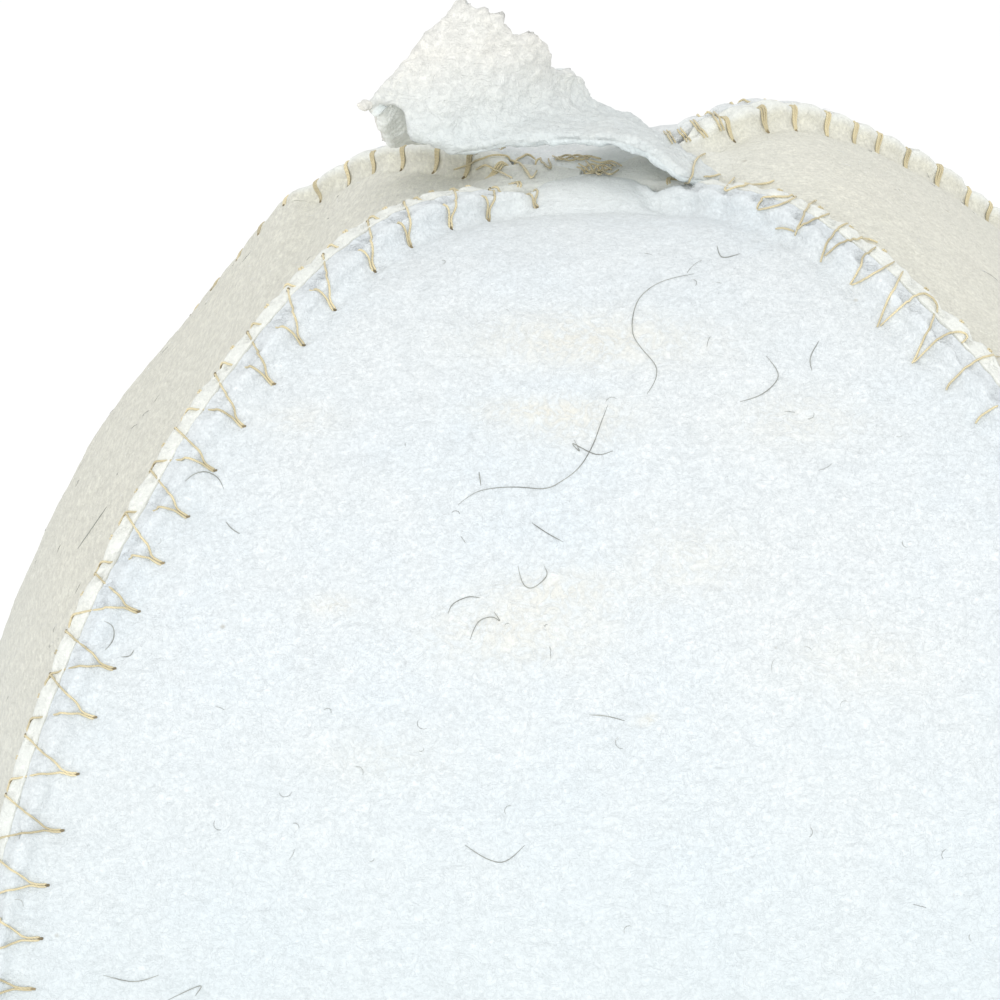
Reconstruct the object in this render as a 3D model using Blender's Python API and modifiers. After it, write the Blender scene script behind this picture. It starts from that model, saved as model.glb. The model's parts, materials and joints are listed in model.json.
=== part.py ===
"""A felt sauna hat: four gores sewn edge to edge, with a hanging loop at the crown.

Metres, +Z up. The hat stands on its hem at z = 0, its front gore facing -Y.
"""
import math

import bmesh
import bpy
from mathutils import Vector

MM = 0.001

# The body of the hat
FELT = 2.8 * MM             # thickness of the gores' felt
SEAM_GAP = 0.4 * MM         # left between two gores at their seam
SHOULDER_HEIGHT = 109 * MM  # where the crown starts to close
SHOULDER_HALF = 76.6 * MM   # half of the distance from seam to seam at the shoulder
HEM_HALF = 80 * MM          # the same at the hem, which flares a little
HEM_UPRIGHT = 5 * MM        # lowest stretch of the wall, upright, with a flat cut under it
CROWN_EASE = 9 * MM         # softens the start of the crown
CROWN_RISE = 97.5 * MM      # from its eased start to the top, before the top is pressed in
CROWN_WIDTH_POWER = 1.64    # (w / SHOULDER_HALF)^this + (h / CROWN_RISE)^the next = 1
CROWN_RISE_POWER = 1.58
CROWN_LEAN = Vector((-7.4 * MM, -0.8 * MM, 0))  # how far the top leans to the side
TIP_HALF = 1.2 * MM         # half of a gore's width at its tip

# The top is pressed in round the apex by this much; SEAMS says how far from it
APEX_DROP = 12.6 * MM

# A seam stands up as a low rib, because both felt edges turn outwards
RIB_UPRIGHT = 1.7 * MM
RIB_BEND_RADIUS = 2.9 * MM
RIB_FADE = (3 * MM, 13 * MM)  # half widths between which the rib rises from nothing
RIB_FADE_GAP = 0.55 * MM      # added to the seam's gap there, where the edges twist
RIB_COLUMNS = [0, 1.1 * MM, 2.2 * MM, 3.2 * MM, 4.2 * MM, 5.3 * MM, 7.0 * MM]
RIB_COLUMN_REACH = 11 * MM    # a narrower half gore has its columns closer together
SPAN_COLUMNS = 5              # columns from the rib to the gore's middle
BEND_STEPS = 8                # pieces of the curve in which the felt bends out of the rib
SPAN_STEPS = 24               # pieces of the curve from rib to rib

SIDE_LEVELS = [0, HEM_UPRIGHT, 30 * MM, 56 * MM, 82 * MM, 100 * MM]
CROWN_ROWS = 15
CROWN_ROW_POWER = 1.2         # above 1 the crown's rows lie closer together at the tip
SLOPE_STEP = 0.4 * MM         # height over which a seam's slope is measured

# How far each gore bows out, in degrees of turn at its seams, from the hem up
BOW_COLUMNS = ("level", "front", "right", "back", "left")
BOW_TABLE = [
    (0.00, 17, 17, 17, 17),
    (0.45, 15, 15, 15, 16.5),
    (0.58, 14, 14, 14, 17.5),
    (0.66, 13, 14, 14, 16),
    (0.75, 12, 13, 13, 12),
    (0.90, 9, 11, 11, -3),
    (1.00, 8, 8, 8, 6),
]

# Seams by name: which way each lies from the axis, and how far the pressed top reaches
SEAMS = {
    "front_left": (-1, -1, 19 * MM),
    "front_right": (1, -1, 19 * MM),
    "back_right": (1, 1, 14.5 * MM),
    "back_left": (-1, 1, 22 * MM),
}
GORES = {
    "front": ("front_left", "front_right"),
    "right": ("front_right", "back_right"),
    "back": ("back_right", "back_left"),
    "left": ("back_left", "front_left"),
}

# The hanging loop, a felt strip from the crown's right over a fold to its left
LOOP_FELT = 1.8 * MM
LOOP_STEPS = 3               # sections made between two rows of the table
LOOP_ACROSS = 4              # faces across the strip
# Near edge x, y, z and far edge x, y, z at each section, in mm from the apex
LOOP_TABLE = [
    (15.1, -7.0, 0.8, 14.7, -1.0, 1.2),
    (10.7, -7.8, 2.3, 9.7, 1.5, 2.4),
    (7.2, -8.5, 3.8, 7.1, 4.5, 3.3),
    (3.8, -8.8, 4.9, 4.2, 6.6, 4.4),
    (-3.2, -9.0, 5.2, -0.2, 6.6, 6.3),
    (-10.2, -9.2, 4.7, -3.4, 4.0, 10.2),
    (-16.1, -9.2, 4.4, -5.9, -0.4, 14.4),
    (-20.9, -8.6, 5.9, -10.2, -3.0, 17.8),
    (-25.0, -5.8, 9.1, -14.8, -3.0, 20.8),
    (-26.1, -1.8, 8.5, -15.7, 0.6, 20.3),
    (-25.1, 2.4, 5.8, -14.6, 4.2, 16.2),
    (-24.8, 5.4, 3.8, -13.6, 6.8, 10.6),
    (-25.2, 8.2, 2.0, -13.8, 8.4, 5.4),
    (-25.6, 10.8, 0.9, -15.2, 9.8, 2.7),
    (-26.0, 13.0, 0.4, -18.2, 11.6, 1.9),
]


def smooth(value, low, high):
    """A rise from 0 at low to 1 at high, level at both."""
    part = min(1, max(0, (value - low) / (high - low)))
    return part * part * (3 - 2 * part)


def crown_rise(height):
    """The eased rise over the shoulder, as a share of the crown's."""
    over = max(0, height - SHOULDER_HEIGHT)
    return (math.hypot(over, CROWN_EASE) - CROWN_EASE) / CROWN_RISE


def half_width(height):
    """Half of the distance from seam to seam at a height, before the top is pressed in."""
    if height <= SHOULDER_HEIGHT:
        below = min(1, (SHOULDER_HEIGHT - height) / (SHOULDER_HEIGHT - HEM_UPRIGHT))
        return SHOULDER_HALF + (HEM_HALF - SHOULDER_HALF) * below ** 2
    closed = 1 - crown_rise(height) ** CROWN_RISE_POWER
    return SHOULDER_HALF * max(0, closed) ** (1 / CROWN_WIDTH_POWER)


def crown_height(half):
    """The height where the crown has closed to a half width."""
    part = 1 - (half / SHOULDER_HALF) ** CROWN_WIDTH_POWER
    eased = CROWN_RISE * max(0, part) ** (1 / CROWN_RISE_POWER) + CROWN_EASE
    return SHOULDER_HEIGHT + math.sqrt(eased ** 2 - CROWN_EASE ** 2)


def section_heights():
    """Heights of the gores' sections, closer together towards the tip."""
    heights = list(SIDE_LEVELS)
    for row in range(CROWN_ROWS):
        turn = math.radians(90) * (1 - row / CROWN_ROWS)
        half = TIP_HALF + (SHOULDER_HALF - TIP_HALF) * math.sin(turn) ** CROWN_ROW_POWER
        heights.append(crown_height(half))
    heights.append(crown_height(TIP_HALF))
    return heights


def crest(seam, height):
    """A point on the crest of a seam's rib."""
    side, depth, reach = SEAMS[seam]
    half = half_width(height)
    drop = APEX_DROP * math.exp(-(half / reach) ** 2)
    return Vector((side * half, depth * half, height - drop)) + CROWN_LEAN * crown_rise(height)


def crest_frame(seam, height):
    """A crest point, and the directions along the seam, outward and across it."""
    side, depth, _ = SEAMS[seam]
    top = crown_height(TIP_HALF)
    low, high = max(0, height - SLOPE_STEP), min(top, height + SLOPE_STEP)
    along = (crest(seam, high) - crest(seam, low)).normalized()
    across = Vector((-depth, side, 0)).normalized()
    across = (across - along * across.dot(along)).normalized()
    outward = along.cross(across).normalized()
    if outward.dot(Vector((side, depth, 1))) < 0:
        outward.negate()
    return crest(seam, height), along, outward, across


def bow(gore, height):
    """The turn in radians with which a gore bows out at its seams."""
    level = height / crown_height(0)
    column = BOW_COLUMNS.index(gore)
    turn = BOW_TABLE[0][column]
    for below, above in zip(BOW_TABLE, BOW_TABLE[1:]):
        turn += (above[column] - below[column]) * smooth(level, below[0], above[0])
    return math.radians(turn)


def rib_path(frame, chord, bow_angle, half):
    """The felt's middle line from a seam's cut edge to where the open gore starts.

    Gives the points and the direction in which the gore leaves the rib.
    """
    point, along, outward, across = frame
    if across.dot(chord) < 0:
        across = -across
    flat_chord = chord - along * chord.dot(along)
    slant = math.atan2(flat_chord.dot(across), -flat_chord.dot(outward))
    last = slant + bow_angle
    stand = smooth(half, *RIB_FADE)
    part_way = 4 * stand * (1 - stand)
    first = last * (1 - stand)
    gap = SEAM_GAP / 2 + RIB_FADE_GAP * part_way
    start = point + across * (gap + FELT / 2 * abs(math.cos(first)))
    start = start - outward * (FELT / 2 * math.sin(first))

    def heading(angle):
        return across * math.sin(angle) - outward * math.cos(angle)

    points = [start, start + heading(first) * (RIB_UPRIGHT * stand)]
    for step in range(BEND_STEPS):
        middle = first + (last - first) * (step + 0.5) / BEND_STEPS
        length = RIB_BEND_RADIUS * (last - first) / BEND_STEPS
        if length > 0:
            points.append(points[-1] + heading(middle) * length)
    leave = heading(last) * flat_chord.length + along * chord.dot(along)
    return points, leave.normalized()


def bezier(a, b, c, d, t):
    """A point on the curve from a to d that leaves towards b and arrives from c."""
    s = 1 - t
    return a * s ** 3 + b * 3 * s * s * t + c * 3 * s * t * t + d * t ** 3


def walk(path, distances):
    """Points at the given distances along a path of points."""
    found, done, part = [], 0, 0
    for distance in distances:
        while part < len(path) - 2 and done + (path[part + 1] - path[part]).length < distance:
            done += (path[part + 1] - path[part]).length
            part += 1
        step = path[part + 1] - path[part]
        found.append(path[part] + step * ((distance - done) / step.length))
    return found


def gore_row(gore, height):
    """One section of a gore, along the middle of its felt."""
    left, right = GORES[gore]
    half = half_width(height)
    frames = [crest_frame(seam, height) for seam in (left, right)]
    chord = (frames[1][0] - frames[0][0]).normalized()
    angle = bow(gore, height)
    first, leave = rib_path(frames[0], chord, angle, half)
    last, arrive = rib_path(frames[1], -chord, angle, half)
    reach = (last[-1] - first[-1]).length / 3
    corners = (first[-1], first[-1] + leave * reach, last[-1] + arrive * reach, last[-1])
    span = [bezier(*corners, i / SPAN_STEPS) for i in range(1, SPAN_STEPS)]
    path = first + span + last[::-1]
    path = [p for i, p in enumerate(path) if i == 0 or (p - path[i - 1]).length > 1e-7]
    length = sum((b - a).length for a, b in zip(path, path[1:]))
    near = min(1, length / 2 / RIB_COLUMN_REACH)
    half_row = [d * near for d in RIB_COLUMNS]
    step = (length / 2 - half_row[-1]) / SPAN_COLUMNS
    half_row += [half_row[-1] + step * (i + 1) for i in range(SPAN_COLUMNS)]
    return walk(path, half_row + [length - d for d in half_row[-2::-1]])


def grid_object(name, rows, thickness, collection, material):
    """A sheet lofted through rows of points, thickened to felt."""
    bm = bmesh.new()
    grid = [[bm.verts.new(point) for point in row] for row in rows]
    for low, high in zip(grid, grid[1:]):
        for i in range(len(low) - 1):
            bm.faces.new((low[i], low[i + 1], high[i + 1], high[i]))
    bmesh.ops.recalc_face_normals(bm, faces=bm.faces)
    mesh = bpy.data.meshes.new(name)
    bm.to_mesh(mesh)
    bm.free()
    mesh.shade_smooth()
    mesh.materials.append(material)
    made = bpy.data.objects.new(name, mesh)
    collection.objects.link(made)
    wall = made.modifiers.new("felt", "SOLIDIFY")
    wall.thickness = thickness
    wall.offset = 0
    wall.use_even_offset = True
    return made


def felt_material(name, colour, roughness):
    material = bpy.data.materials.new(name)
    material.use_nodes = True
    shader = material.node_tree.nodes["Principled BSDF"]
    shader.inputs["Base Color"].default_value = (*colour, 1)
    shader.inputs["Roughness"].default_value = roughness
    shader.inputs["Metallic"].default_value = 0
    return material


def spline(a, b, c, d, t):
    """A point between b and c on a smooth curve through a, b, c and d."""
    return 0.5 * (2 * b + (c - a) * t + (2 * a - 5 * b + 4 * c - d) * t * t
                  + (3 * b - a - 3 * c + d) * t ** 3)


def loop_rows():
    """Sections of the hanging loop, smooth through the rows of its table."""
    apex = crest("front_left", crown_height(0))
    table = [(apex + Vector(row[:3]) * MM, apex + Vector(row[3:]) * MM) for row in LOOP_TABLE]
    table = [table[0]] + table + [table[-1]]
    rows = []
    for i in range(1, len(table) - 2):
        for step in range(LOOP_STEPS):
            near, far = (spline(*(table[i + k][edge] for k in (-1, 0, 1, 2)), step / LOOP_STEPS)
                         for edge in (0, 1))
            rows.append((near, far))
    rows.append(table[-2])
    return [[near.lerp(far, i / LOOP_ACROSS) for i in range(LOOP_ACROSS + 1)] for near, far in rows]


def build_gores(collection, parent):
    colours = {"front": (0.86, 0.87, 0.86), "right": (0.80, 0.77, 0.70),
               "back": (0.83, 0.82, 0.78), "left": (0.76, 0.73, 0.66)}
    heights = section_heights()
    for gore, colour in colours.items():
        material = felt_material(gore + "_felt", colour, 0.95)
        rows = [gore_row(gore, height) for height in heights]
        made = grid_object(gore + "_gore", rows, FELT, collection, material)
        made.parent = parent


def build_loop(collection, parent):
    material = felt_material("loop_felt", (0.87, 0.85, 0.80), 0.95)
    made = grid_object("hanging_loop", loop_rows(), LOOP_FELT, collection, material)
    made.parent = parent


def main():
    for old in list(bpy.data.objects):
        bpy.data.objects.remove(old, do_unlink=True)
    collection = bpy.data.collections.new("sauna_hat")
    bpy.context.scene.collection.children.link(collection)
    hat = bpy.data.objects.new("sauna_hat", None)
    collection.objects.link(hat)
    build_gores(collection, hat)
    build_loop(collection, hat)


main()
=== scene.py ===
"""A felt sauna hat in a plain studio: four sewn gores, a hanging loop, stitches, hairs and fuzz.

Metres, +Z up, the hat on its hem at z = 0 with its front gore facing -Y.
"""
import json
import math
from functools import lru_cache

import bmesh
import bpy
import numpy as np
from bpy.props import FloatProperty, FloatVectorProperty, PointerProperty
from bpy.types import Operator, Panel, PropertyGroup
from mathutils import Matrix, Vector, noise
from mathutils.bvhtree import BVHTree

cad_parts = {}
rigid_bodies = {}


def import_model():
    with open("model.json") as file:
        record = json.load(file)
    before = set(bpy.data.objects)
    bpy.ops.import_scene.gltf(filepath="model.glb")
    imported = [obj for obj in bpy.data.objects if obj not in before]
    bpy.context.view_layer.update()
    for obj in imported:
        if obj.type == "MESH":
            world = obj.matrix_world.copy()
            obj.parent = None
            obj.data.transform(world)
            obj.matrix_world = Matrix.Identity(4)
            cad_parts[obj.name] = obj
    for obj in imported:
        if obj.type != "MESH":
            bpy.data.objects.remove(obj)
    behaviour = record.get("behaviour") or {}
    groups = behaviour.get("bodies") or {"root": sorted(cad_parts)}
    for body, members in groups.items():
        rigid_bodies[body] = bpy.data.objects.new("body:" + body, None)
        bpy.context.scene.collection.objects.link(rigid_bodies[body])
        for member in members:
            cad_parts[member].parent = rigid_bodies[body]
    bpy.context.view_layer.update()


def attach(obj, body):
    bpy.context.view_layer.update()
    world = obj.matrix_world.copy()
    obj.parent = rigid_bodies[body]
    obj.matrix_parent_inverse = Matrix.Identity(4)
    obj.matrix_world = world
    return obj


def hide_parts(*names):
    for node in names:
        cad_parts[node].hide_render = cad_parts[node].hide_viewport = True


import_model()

bl_info = {
    "name": "Felt Sauna Hat",
    "version": (1, 0, 0),
    "blender": (4, 5, 0),
    "location": "View3D > Sidebar > Sauna Hat",
    "description": "Builds a felt sauna hat with a hanging loop and its studio",
    "category": "Add Mesh",
}

MM = 0.001

# The body of the hat, as its solids have it
SHOULDER_HEIGHT = 109 * MM
SHOULDER_HALF = 76.6 * MM
HEM_HALF = 80 * MM
HEM_UPRIGHT = 5 * MM
CROWN_EASE = 9 * MM
CROWN_RISE = 97.5 * MM
CROWN_WIDTH_POWER = 1.64
CROWN_RISE_POWER = 1.58
CROWN_LEAN = Vector((-7.4 * MM, -0.8 * MM, 0))
TIP_HALF = 1.2 * MM
APEX_DROP = 12.6 * MM
TUCKS = {"back_left": 2.3 * MM}     # how far a seam is drawn in below its pressed top
TUCK_HEIGHT = 184 * MM
TUCK_REACH = 14.7 * MM
ROLLS = {"back_left": math.radians(48)}     # how far that seam's rib leans to the back
ROLL_RISE = (190 * MM, 196.5 * MM)
ROLL_FADE = (138 * MM, 162 * MM)
RIB_UPRIGHT = 1.7 * MM
RIB_BEND_RADIUS = 2.9 * MM
RIB_FADE = (3 * MM, 13 * MM)
RIB_FADE_GAP = 0.4 * MM
SLOPE_STEP = 0.4 * MM
BEND_STEPS = 12
SPAN_STEPS = 60

# How far each gore bows out, in degrees of turn at its seams, from the hem up
BOW_COLUMNS = ("level", "front", "right", "back", "left")
BOW_TABLE = [
    (0.00, 17, 17, 17, 17),
    (0.45, 15, 15, 15, 16.5),
    (0.58, 14, 14, 14, 17.5),
    (0.66, 13, 14, 14, 16),
    (0.75, 12, 13, 13, 12),
    (0.90, 9, 11, 11, -3),
    (1.00, 8, 8, 8, 6),
]

# Seams by name: which way each lies from the axis, and how far the pressed top reaches
SEAMS = {
    "front_left": (-1, -1, 19 * MM),
    "front_right": (1, -1, 19 * MM),
    "back_right": (1, 1, 14.5 * MM),
    "back_left": (-1, 1, 22 * MM),
}
# Gores by name: the seams at their two sides, seen from outside
GORES = {
    "front": ("front_left", "front_right"),
    "right": ("front_right", "back_right"),
    "back": ("back_right", "back_left"),
    "left": ("back_left", "front_left"),
}
FACE_GORES = ("front", "back")     # where the stitches show their forked face side

# Rows and columns of the gores' meshes
HEM_ROWS = (0, 0.12 * MM, 0.5 * MM)          # close together round the cut edge
HEM_INSETS = (0.45 * MM, 0.16 * MM, 0)       # by which these rows are thinner each side
HEM_BARE = 4 * MM               # no loose strands below this, which would reach under the hem
SIDE_STEP = 0.9 * MM
SIDE_FINE_FROM = 88 * MM
SIDE_FINE_STEP = 0.95 * MM
CROWN_ROWS = 165
CROWN_ROW_POWER = 1.2
EDGE_COLUMNS = [0.9, 1.3, 1.8, 2.3, 2.8, 3.3, 3.8, 4.4, 5.0, 5.6, 6.2, 6.9, 7.7, 8.6, 9.7]   # mm
SPAN_COLUMNS = 44
CUT_CORNER_STEPS = 3
CREASE_RADIUS = 0.3 * MM            # of the corners that meet inside a seam
CREASE_REACH = 2.4 * MM             # how far into a seam the thread presses the felt
LOOP_SHADOW_LIGHT_PLACE = (-8 * MM, -4 * MM, 208 * MM)     # painted light: brightens the felt in the loop's shadow, around this place
LOOP_SHADOW_LIGHT_REACH = 15 * MM
CUT_PALE = (1.2 * MM, 2.3 * MM)     # distances over which a cut edge's paleness fades
LEFT_GRAIN = 0.16              # the left gore's fibres are drawn out along its depth
CUT_SHARE = 0.72               # how pale the side gores' cut edges are

# The hanging loop: near edge x, y, z and far edge x, y, z at each section, in mm from the apex
LOOP_TABLE = [
    (15.1, -7.0, 0.8, 14.7, -1.0, 1.2),
    (10.7, -7.8, 2.3, 9.7, 1.5, 2.4),
    (7.2, -6.6, 4.3, 7.1, 4.5, 3.3),
    (3.8, -6.2, 5.6, 4.2, 6.6, 4.4),
    (-3.2, -6.3, 5.9, -0.2, 6.6, 6.3),
    (-10.2, -6.5, 5.4, -3.4, 4.0, 10.2),
    (-16.1, -6.9, 5.0, -5.9, -0.4, 14.4),
    (-20.7, -6.9, 6.2, -9.9, -3.4, 17.6),
    (-24.5, -5.4, 9.2, -14.1, -4.2, 20.4),
    (-25.4, -4.4, 8.6, -14.8, -2.6, 20.3),
    (-25.2, -1.6, 6.0, -14.6, 0.0, 16.2),
    (-24.7, 2.4, 4.2, -13.6, 3.2, 10.6),
    (-24.9, 7.8, 2.7, -13.8, 7.6, 5.6),
    (-24.9, 12.9, 1.5, -15.2, 11.4, 3.0),
    (-24.7, 15.8, 1.0, -17.8, 14.0, 2.1),
]
# Where the strip's real edges run: the section, then near and far as shares of the way across
LOOP_EDGE_TABLE = [
    (0.0, -0.30, 0.02), (0.25, -0.42, 0.16), (0.5, -0.50, 0.34), (0.75, -0.57, 0.57), (1.0, -0.62, 0.78),
    (1.25, -0.62, 0.87), (1.5, -0.54, 0.89), (2.0, -0.44, 0.91), (2.5, -0.46, 0.99), (2.75, -0.44, 1.05),
    (3.0, -0.37, 1.12), (3.25, -0.28, 1.12), (3.5, -0.20, 1.13), (3.75, -0.13, 1.12), (3.875, -0.10, 1.10),
    (4.0, -0.09, 1.06), (4.25, -0.06, 1.04), (4.375, -0.05, 1.10), (4.5, -0.03, 1.13), (4.75, -0.01, 1.14),
    (4.875, 0.00, 1.10), (5.0, -0.02, 1.08), (5.125, -0.05, 1.06), (5.25, -0.05, 1.01), (5.375, -0.04, 0.97),
    (5.5, -0.04, 0.96), (5.625, -0.03, 0.98), (5.75, -0.01, 1.01), (5.875, -0.01, 1.04), (6.0, 0.01, 1.07),
    (6.25, 0.03, 1.07), (6.5, 0.05, 1.03), (6.75, 0.06, 1.00), (7.0, 0.06, 1.01), (7.125, 0.08, 1.04),
    (7.25, 0.11, 1.05), (7.5, 0.16, 1.05), (7.75, 0.15, 1.04), (8.0, 0.12, 1.04), (8.5, 0.05, 1.03),
    (8.8, 0.04, 1.02), (9.3, 0.08, 1.02), (11.0, 0.08, 1.0), (14.0, 0.09, 1.0),
]
NUB_SECTION = 8.6              # where a curled nub of felt sits at the fold's near corner
NUB_OFFSET = (-1.3 * MM, -0.3 * MM, 0.2 * MM)
NUB_RADIUS = 0.62 * MM
NUB_LENGTH = 1.3                # how many times longer the nub is than wide
LOOP_STEPS = 20
LOOP_ACROSS = 56
GORE_SHADE_HEIGHTS = (105 * MM, 165 * MM)     # heights between which the painted shade on the gores' lower parts fades out upwards
LOOP_SHADE_HEIGHTS = (6 * MM, 16 * MM)  # heights over the apex between which the painted shade on the strip fades out upwards
RETURN_SECTIONS = (8.4, 9.2)    # between these sections the painted shade stops, so the strip's part behind the fold gets none
LOOP_TAPER = 0.62 * MM         # by which the strip is thinner each side at both of its ends

# Stitches: how far each needle hole lies from the apex along its seam, in mm, before the even run
STITCHES = {
    "front_left": [12.7, 19.3, 25.6, 32.9, 39.5, 47.4, 53.6, 60.0, 66.4, 72.8, 79.3, 85.7, 92.0, 99.3,
                   105.4, 112.4, 119.2, 125.7, 132.0, 137.9],
    "front_right": [14.0, 19.8, 25.5, 31.0, 37.8, 42.3, 48.1, 55.7, 61.2, 65.7, 71.4],
    "back_right": [11.2, 15.0, 20.6, 25.9, 31.5, 37.5, 42.7, 47.0, 52.5, 58.1, 64.6, 69.4],
    "back_left": [12.7, 18.7, 25.2, 32.0, 38.3, 44.2, 51.3],
}
STITCH_PITCH = {"front_left": 6.6, "front_right": 6.3, "back_right": 6.0, "back_left": 6.4}   # mm
TRACED_STITCHES = {"front_right": 11, "back_right": 2}     # at the top, laid thread by thread
HEM_STITCH_MARGIN = 4 * MM
# Distance from the apex, and how far the needle holes there lie from the crease on the forked side
NEEDLE_TABLE = [(25, 5.3), (90, 5.9), (135, 7.2)]     # mm
FORK_REACH = 8.5 * MM          # from the needle hole to the far edge of the rib
FAR_EDGE = 2.4 * MM
REVERSE_HOLE = 5.8 * MM        # from the crease to the needle hole of the reverse side
LOOSE_RISE = (46 * MM, 53 * MM)        # between these the rolled rib's stitches press less
LOOSE_FADE = (105 * MM, 120 * MM)
LEAN = 0.235                   # radians by which a fork leans uphill near the apex
LEAN_FADE = (45 * MM, 92 * MM)
# Distance from the needle hole, and how far a fork's legs spread there each way, in mm
SPREAD_TABLE = [(0, 0.1), (1.9, 0.2), (2.5, 0.42), (8.4, 2.6)]
# Strands of a stitch: mm along the seam, mm across it from the needle hole, height
FORK_STRANDS = [
    [(-0.10, -0.20, -0.8), (-0.13, 0.02, 0.04), (-0.12, 0.5, 0.24), (-0.10, 1.2, 0.30), (-0.18, 1.9, 0.30),
     (-0.40, 2.5, 0.26), (-0.68, 3.25, 0.20), (-0.87, 3.75, 0.17), (-1.03, 4.2, 0.16), (-1.40, 5.2, 0.17),
     (-1.73, 6.1, 0.19), (-2.14, 7.2, 0.17), (-2.36, 7.8, 0.16), (-2.55, 8.3, 0.15), (-2.66, 8.7, 0.06),
     (-2.68, 9.0, -0.3)],
    [(0.10, -0.20, -0.8), (0.14, 0.02, 0.04), (0.15, 0.5, 0.22), (0.14, 1.2, 0.28), (0.22, 1.9, 0.28),
     (0.44, 2.5, 0.24), (0.72, 3.25, 0.19), (0.90, 3.75, 0.16), (1.05, 4.2, 0.16), (1.42, 5.2, 0.16),
     (1.76, 6.1, 0.18), (2.14, 7.2, 0.16), (2.35, 7.8, 0.16), (2.56, 8.25, 0.15), (2.88, 8.5, 0.13),
     (3.35, 8.55, 0.11), (3.80, 8.5, 0.10), (4.10, 8.55, -0.15)],
]
# Short dark strands as painted shadow in the needle holes, and at the far edge where the legs turn
HOLE_SHADOW_STRANDS = [
    [(0.0, -0.50, -0.02), (0.0, -0.25, 0.05), (0.0, 0.05, 0.06)],
    [(2.45, 8.25, 0.04), (2.72, 8.42, 0.06), (2.98, 8.55, 0.03)],
    [(-2.52, 8.45, 0.04), (-2.68, 8.65, 0.05), (-2.80, 8.85, 0.0)],
]
BACK_HOLE_SHADOW_STRANDS = [
    [(-0.05, 11.55, 0.05), (-0.05, 11.9, 0.04), (-0.05, 12.2, -0.05)],
]
REVERSE_STRANDS = [
    [(-0.14, 8.3, -0.3), (-0.15, 8.6, 0.08), (-0.15, 9.1, 0.16), (-0.14, 9.9, 0.24), (-0.13, 10.9, 0.22),
     (-0.12, 11.6, 0.06), (-0.10, 11.9, -0.6)],
    [(0.14, 8.3, -0.3), (0.13, 8.6, 0.08), (0.14, 9.1, 0.18), (0.13, 9.9, 0.24), (0.14, 10.9, 0.20),
     (0.12, 11.6, 0.05), (0.10, 11.9, -0.6)],
]
# The same where the reverse side shows: the legs stop on the rib, the doubled strand starts there
BACK_STRANDS = [
    [(-0.10, -0.20, -0.8), (-0.13, 0.02, 0.04), (-0.12, 0.5, 0.22), (-0.10, 1.2, 0.27), (-0.18, 1.9, 0.27),
     (-0.45, 2.5, 0.24), (-0.80, 3.25, 0.17), (-0.95, 3.75, 0.14), (-1.00, 4.2, 0.14), (-0.85, 5.2, 0.12),
     (-0.60, 5.8, 0.0), (-0.50, 6.1, -0.5)],
    [(0.10, -0.20, -0.8), (0.14, 0.02, 0.04), (0.15, 0.5, 0.20), (0.14, 1.2, 0.25), (0.22, 1.9, 0.25),
     (0.48, 2.5, 0.22), (0.80, 3.25, 0.16), (0.95, 3.75, 0.14), (1.00, 4.2, 0.14), (0.85, 5.2, 0.12),
     (0.60, 5.8, 0.0), (0.50, 6.1, -0.5)],
    [(-0.34, 6.9, -0.4), (-0.34, 7.3, 0.10), (-0.33, 8.0, 0.16), (-0.32, 8.6, 0.17), (-0.31, 9.2, 0.18),
     (-0.28, 10.2, 0.26), (-0.22, 11.2, 0.20), (-0.16, 11.7, 0.04), (-0.12, 12.0, -0.6)],
    [(-0.02, 6.9, -0.4), (-0.03, 7.3, 0.14), (-0.03, 8.0, 0.20), (-0.02, 8.6, 0.21), (-0.03, 9.2, 0.22),
     (-0.05, 10.2, 0.30), (-0.05, 11.2, 0.22), (-0.05, 11.7, 0.04), (-0.05, 12.0, -0.6)],
    [(0.30, 6.9, -0.4), (0.29, 7.3, 0.10), (0.30, 8.0, 0.17), (0.28, 8.6, 0.17), (0.25, 9.2, 0.18),
     (0.20, 10.2, 0.26), (0.12, 11.2, 0.19), (0.06, 11.7, 0.04), (0.02, 12.0, -0.6)],
]
SEAM_REACH = 11 * MM          # how far from its middle a seam's guide goes each way
PITCH_SPREAD = 0.35            # mm by which the evenly run stitches stray
LEAN_SPREAD = 0.045
WIDTH_SPREAD = 0.09
LOOSE_SHARE = 0.8              # by which a stitch on the rolled rib is flatter and presses less

# How the thread presses the felt in: how wide and how deep each mark is
DIMPLE_WIDTH = 0.9 * MM
LEG_WIDTH = 0.7 * MM
LEG_FADE = 1.2 * MM
LEG_DEPTH = 0.36 * MM
CORNER_PLACE = 3.4 * MM        # from the needle hole to the rib's near corner
CORNER_WIDTH = 1.1 * MM
CORNER_DEPTH = 0.38 * MM
BEHIND_REACH = 7 * MM
BEHIND_DEPTH = 0.2 * MM
GROOVE_WIDTH = 1.15 * MM
GROOVE_REACH = 6.5 * MM
GROOVE_FADE = 2 * MM
GROOVE_DEPTH = 0.6 * MM
FORK_HOLE_DEPTHS = (0.45 * MM, 0.4 * MM)     # of the needle hole, and of the reverse side's
BACK_HOLE_DEPTHS = (0.3 * MM, 0.35 * MM)

# Lumps of the gores: their size, and their height as a share of the tallest
GORE_LUMPS = ((7 * MM, 1), (2.6 * MM, 0.55), (1.3 * MM, 0.3))
# Lumps of the loop: their size and height
LOOP_LUMPS = [(4.5 * MM, 0.42 * MM), (1.7 * MM, 0.28 * MM), (0.85 * MM, 0.17 * MM), (0.5 * MM, 0.09 * MM)]
CALM_REACH = 14 * MM           # how far from the apex the lumps and pinches are lower
CALM_LEAST = 0.25
LARGEST_CORNER = 0.98          # of half the felt's thickness
LOOP_CORNER = 0.75 * MM
NUB_LUMPS = (0.5 * MM, 0.35)
# The loop's torn edge: how fast each wave runs, its own place in the noise and its height
TEARS = ((5.1, 3.7, 0.022), (13, 9.1, 0.02))
TEAR_START = (0.5, 2.0)
TEAR_END = (9.5, 12)
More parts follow.
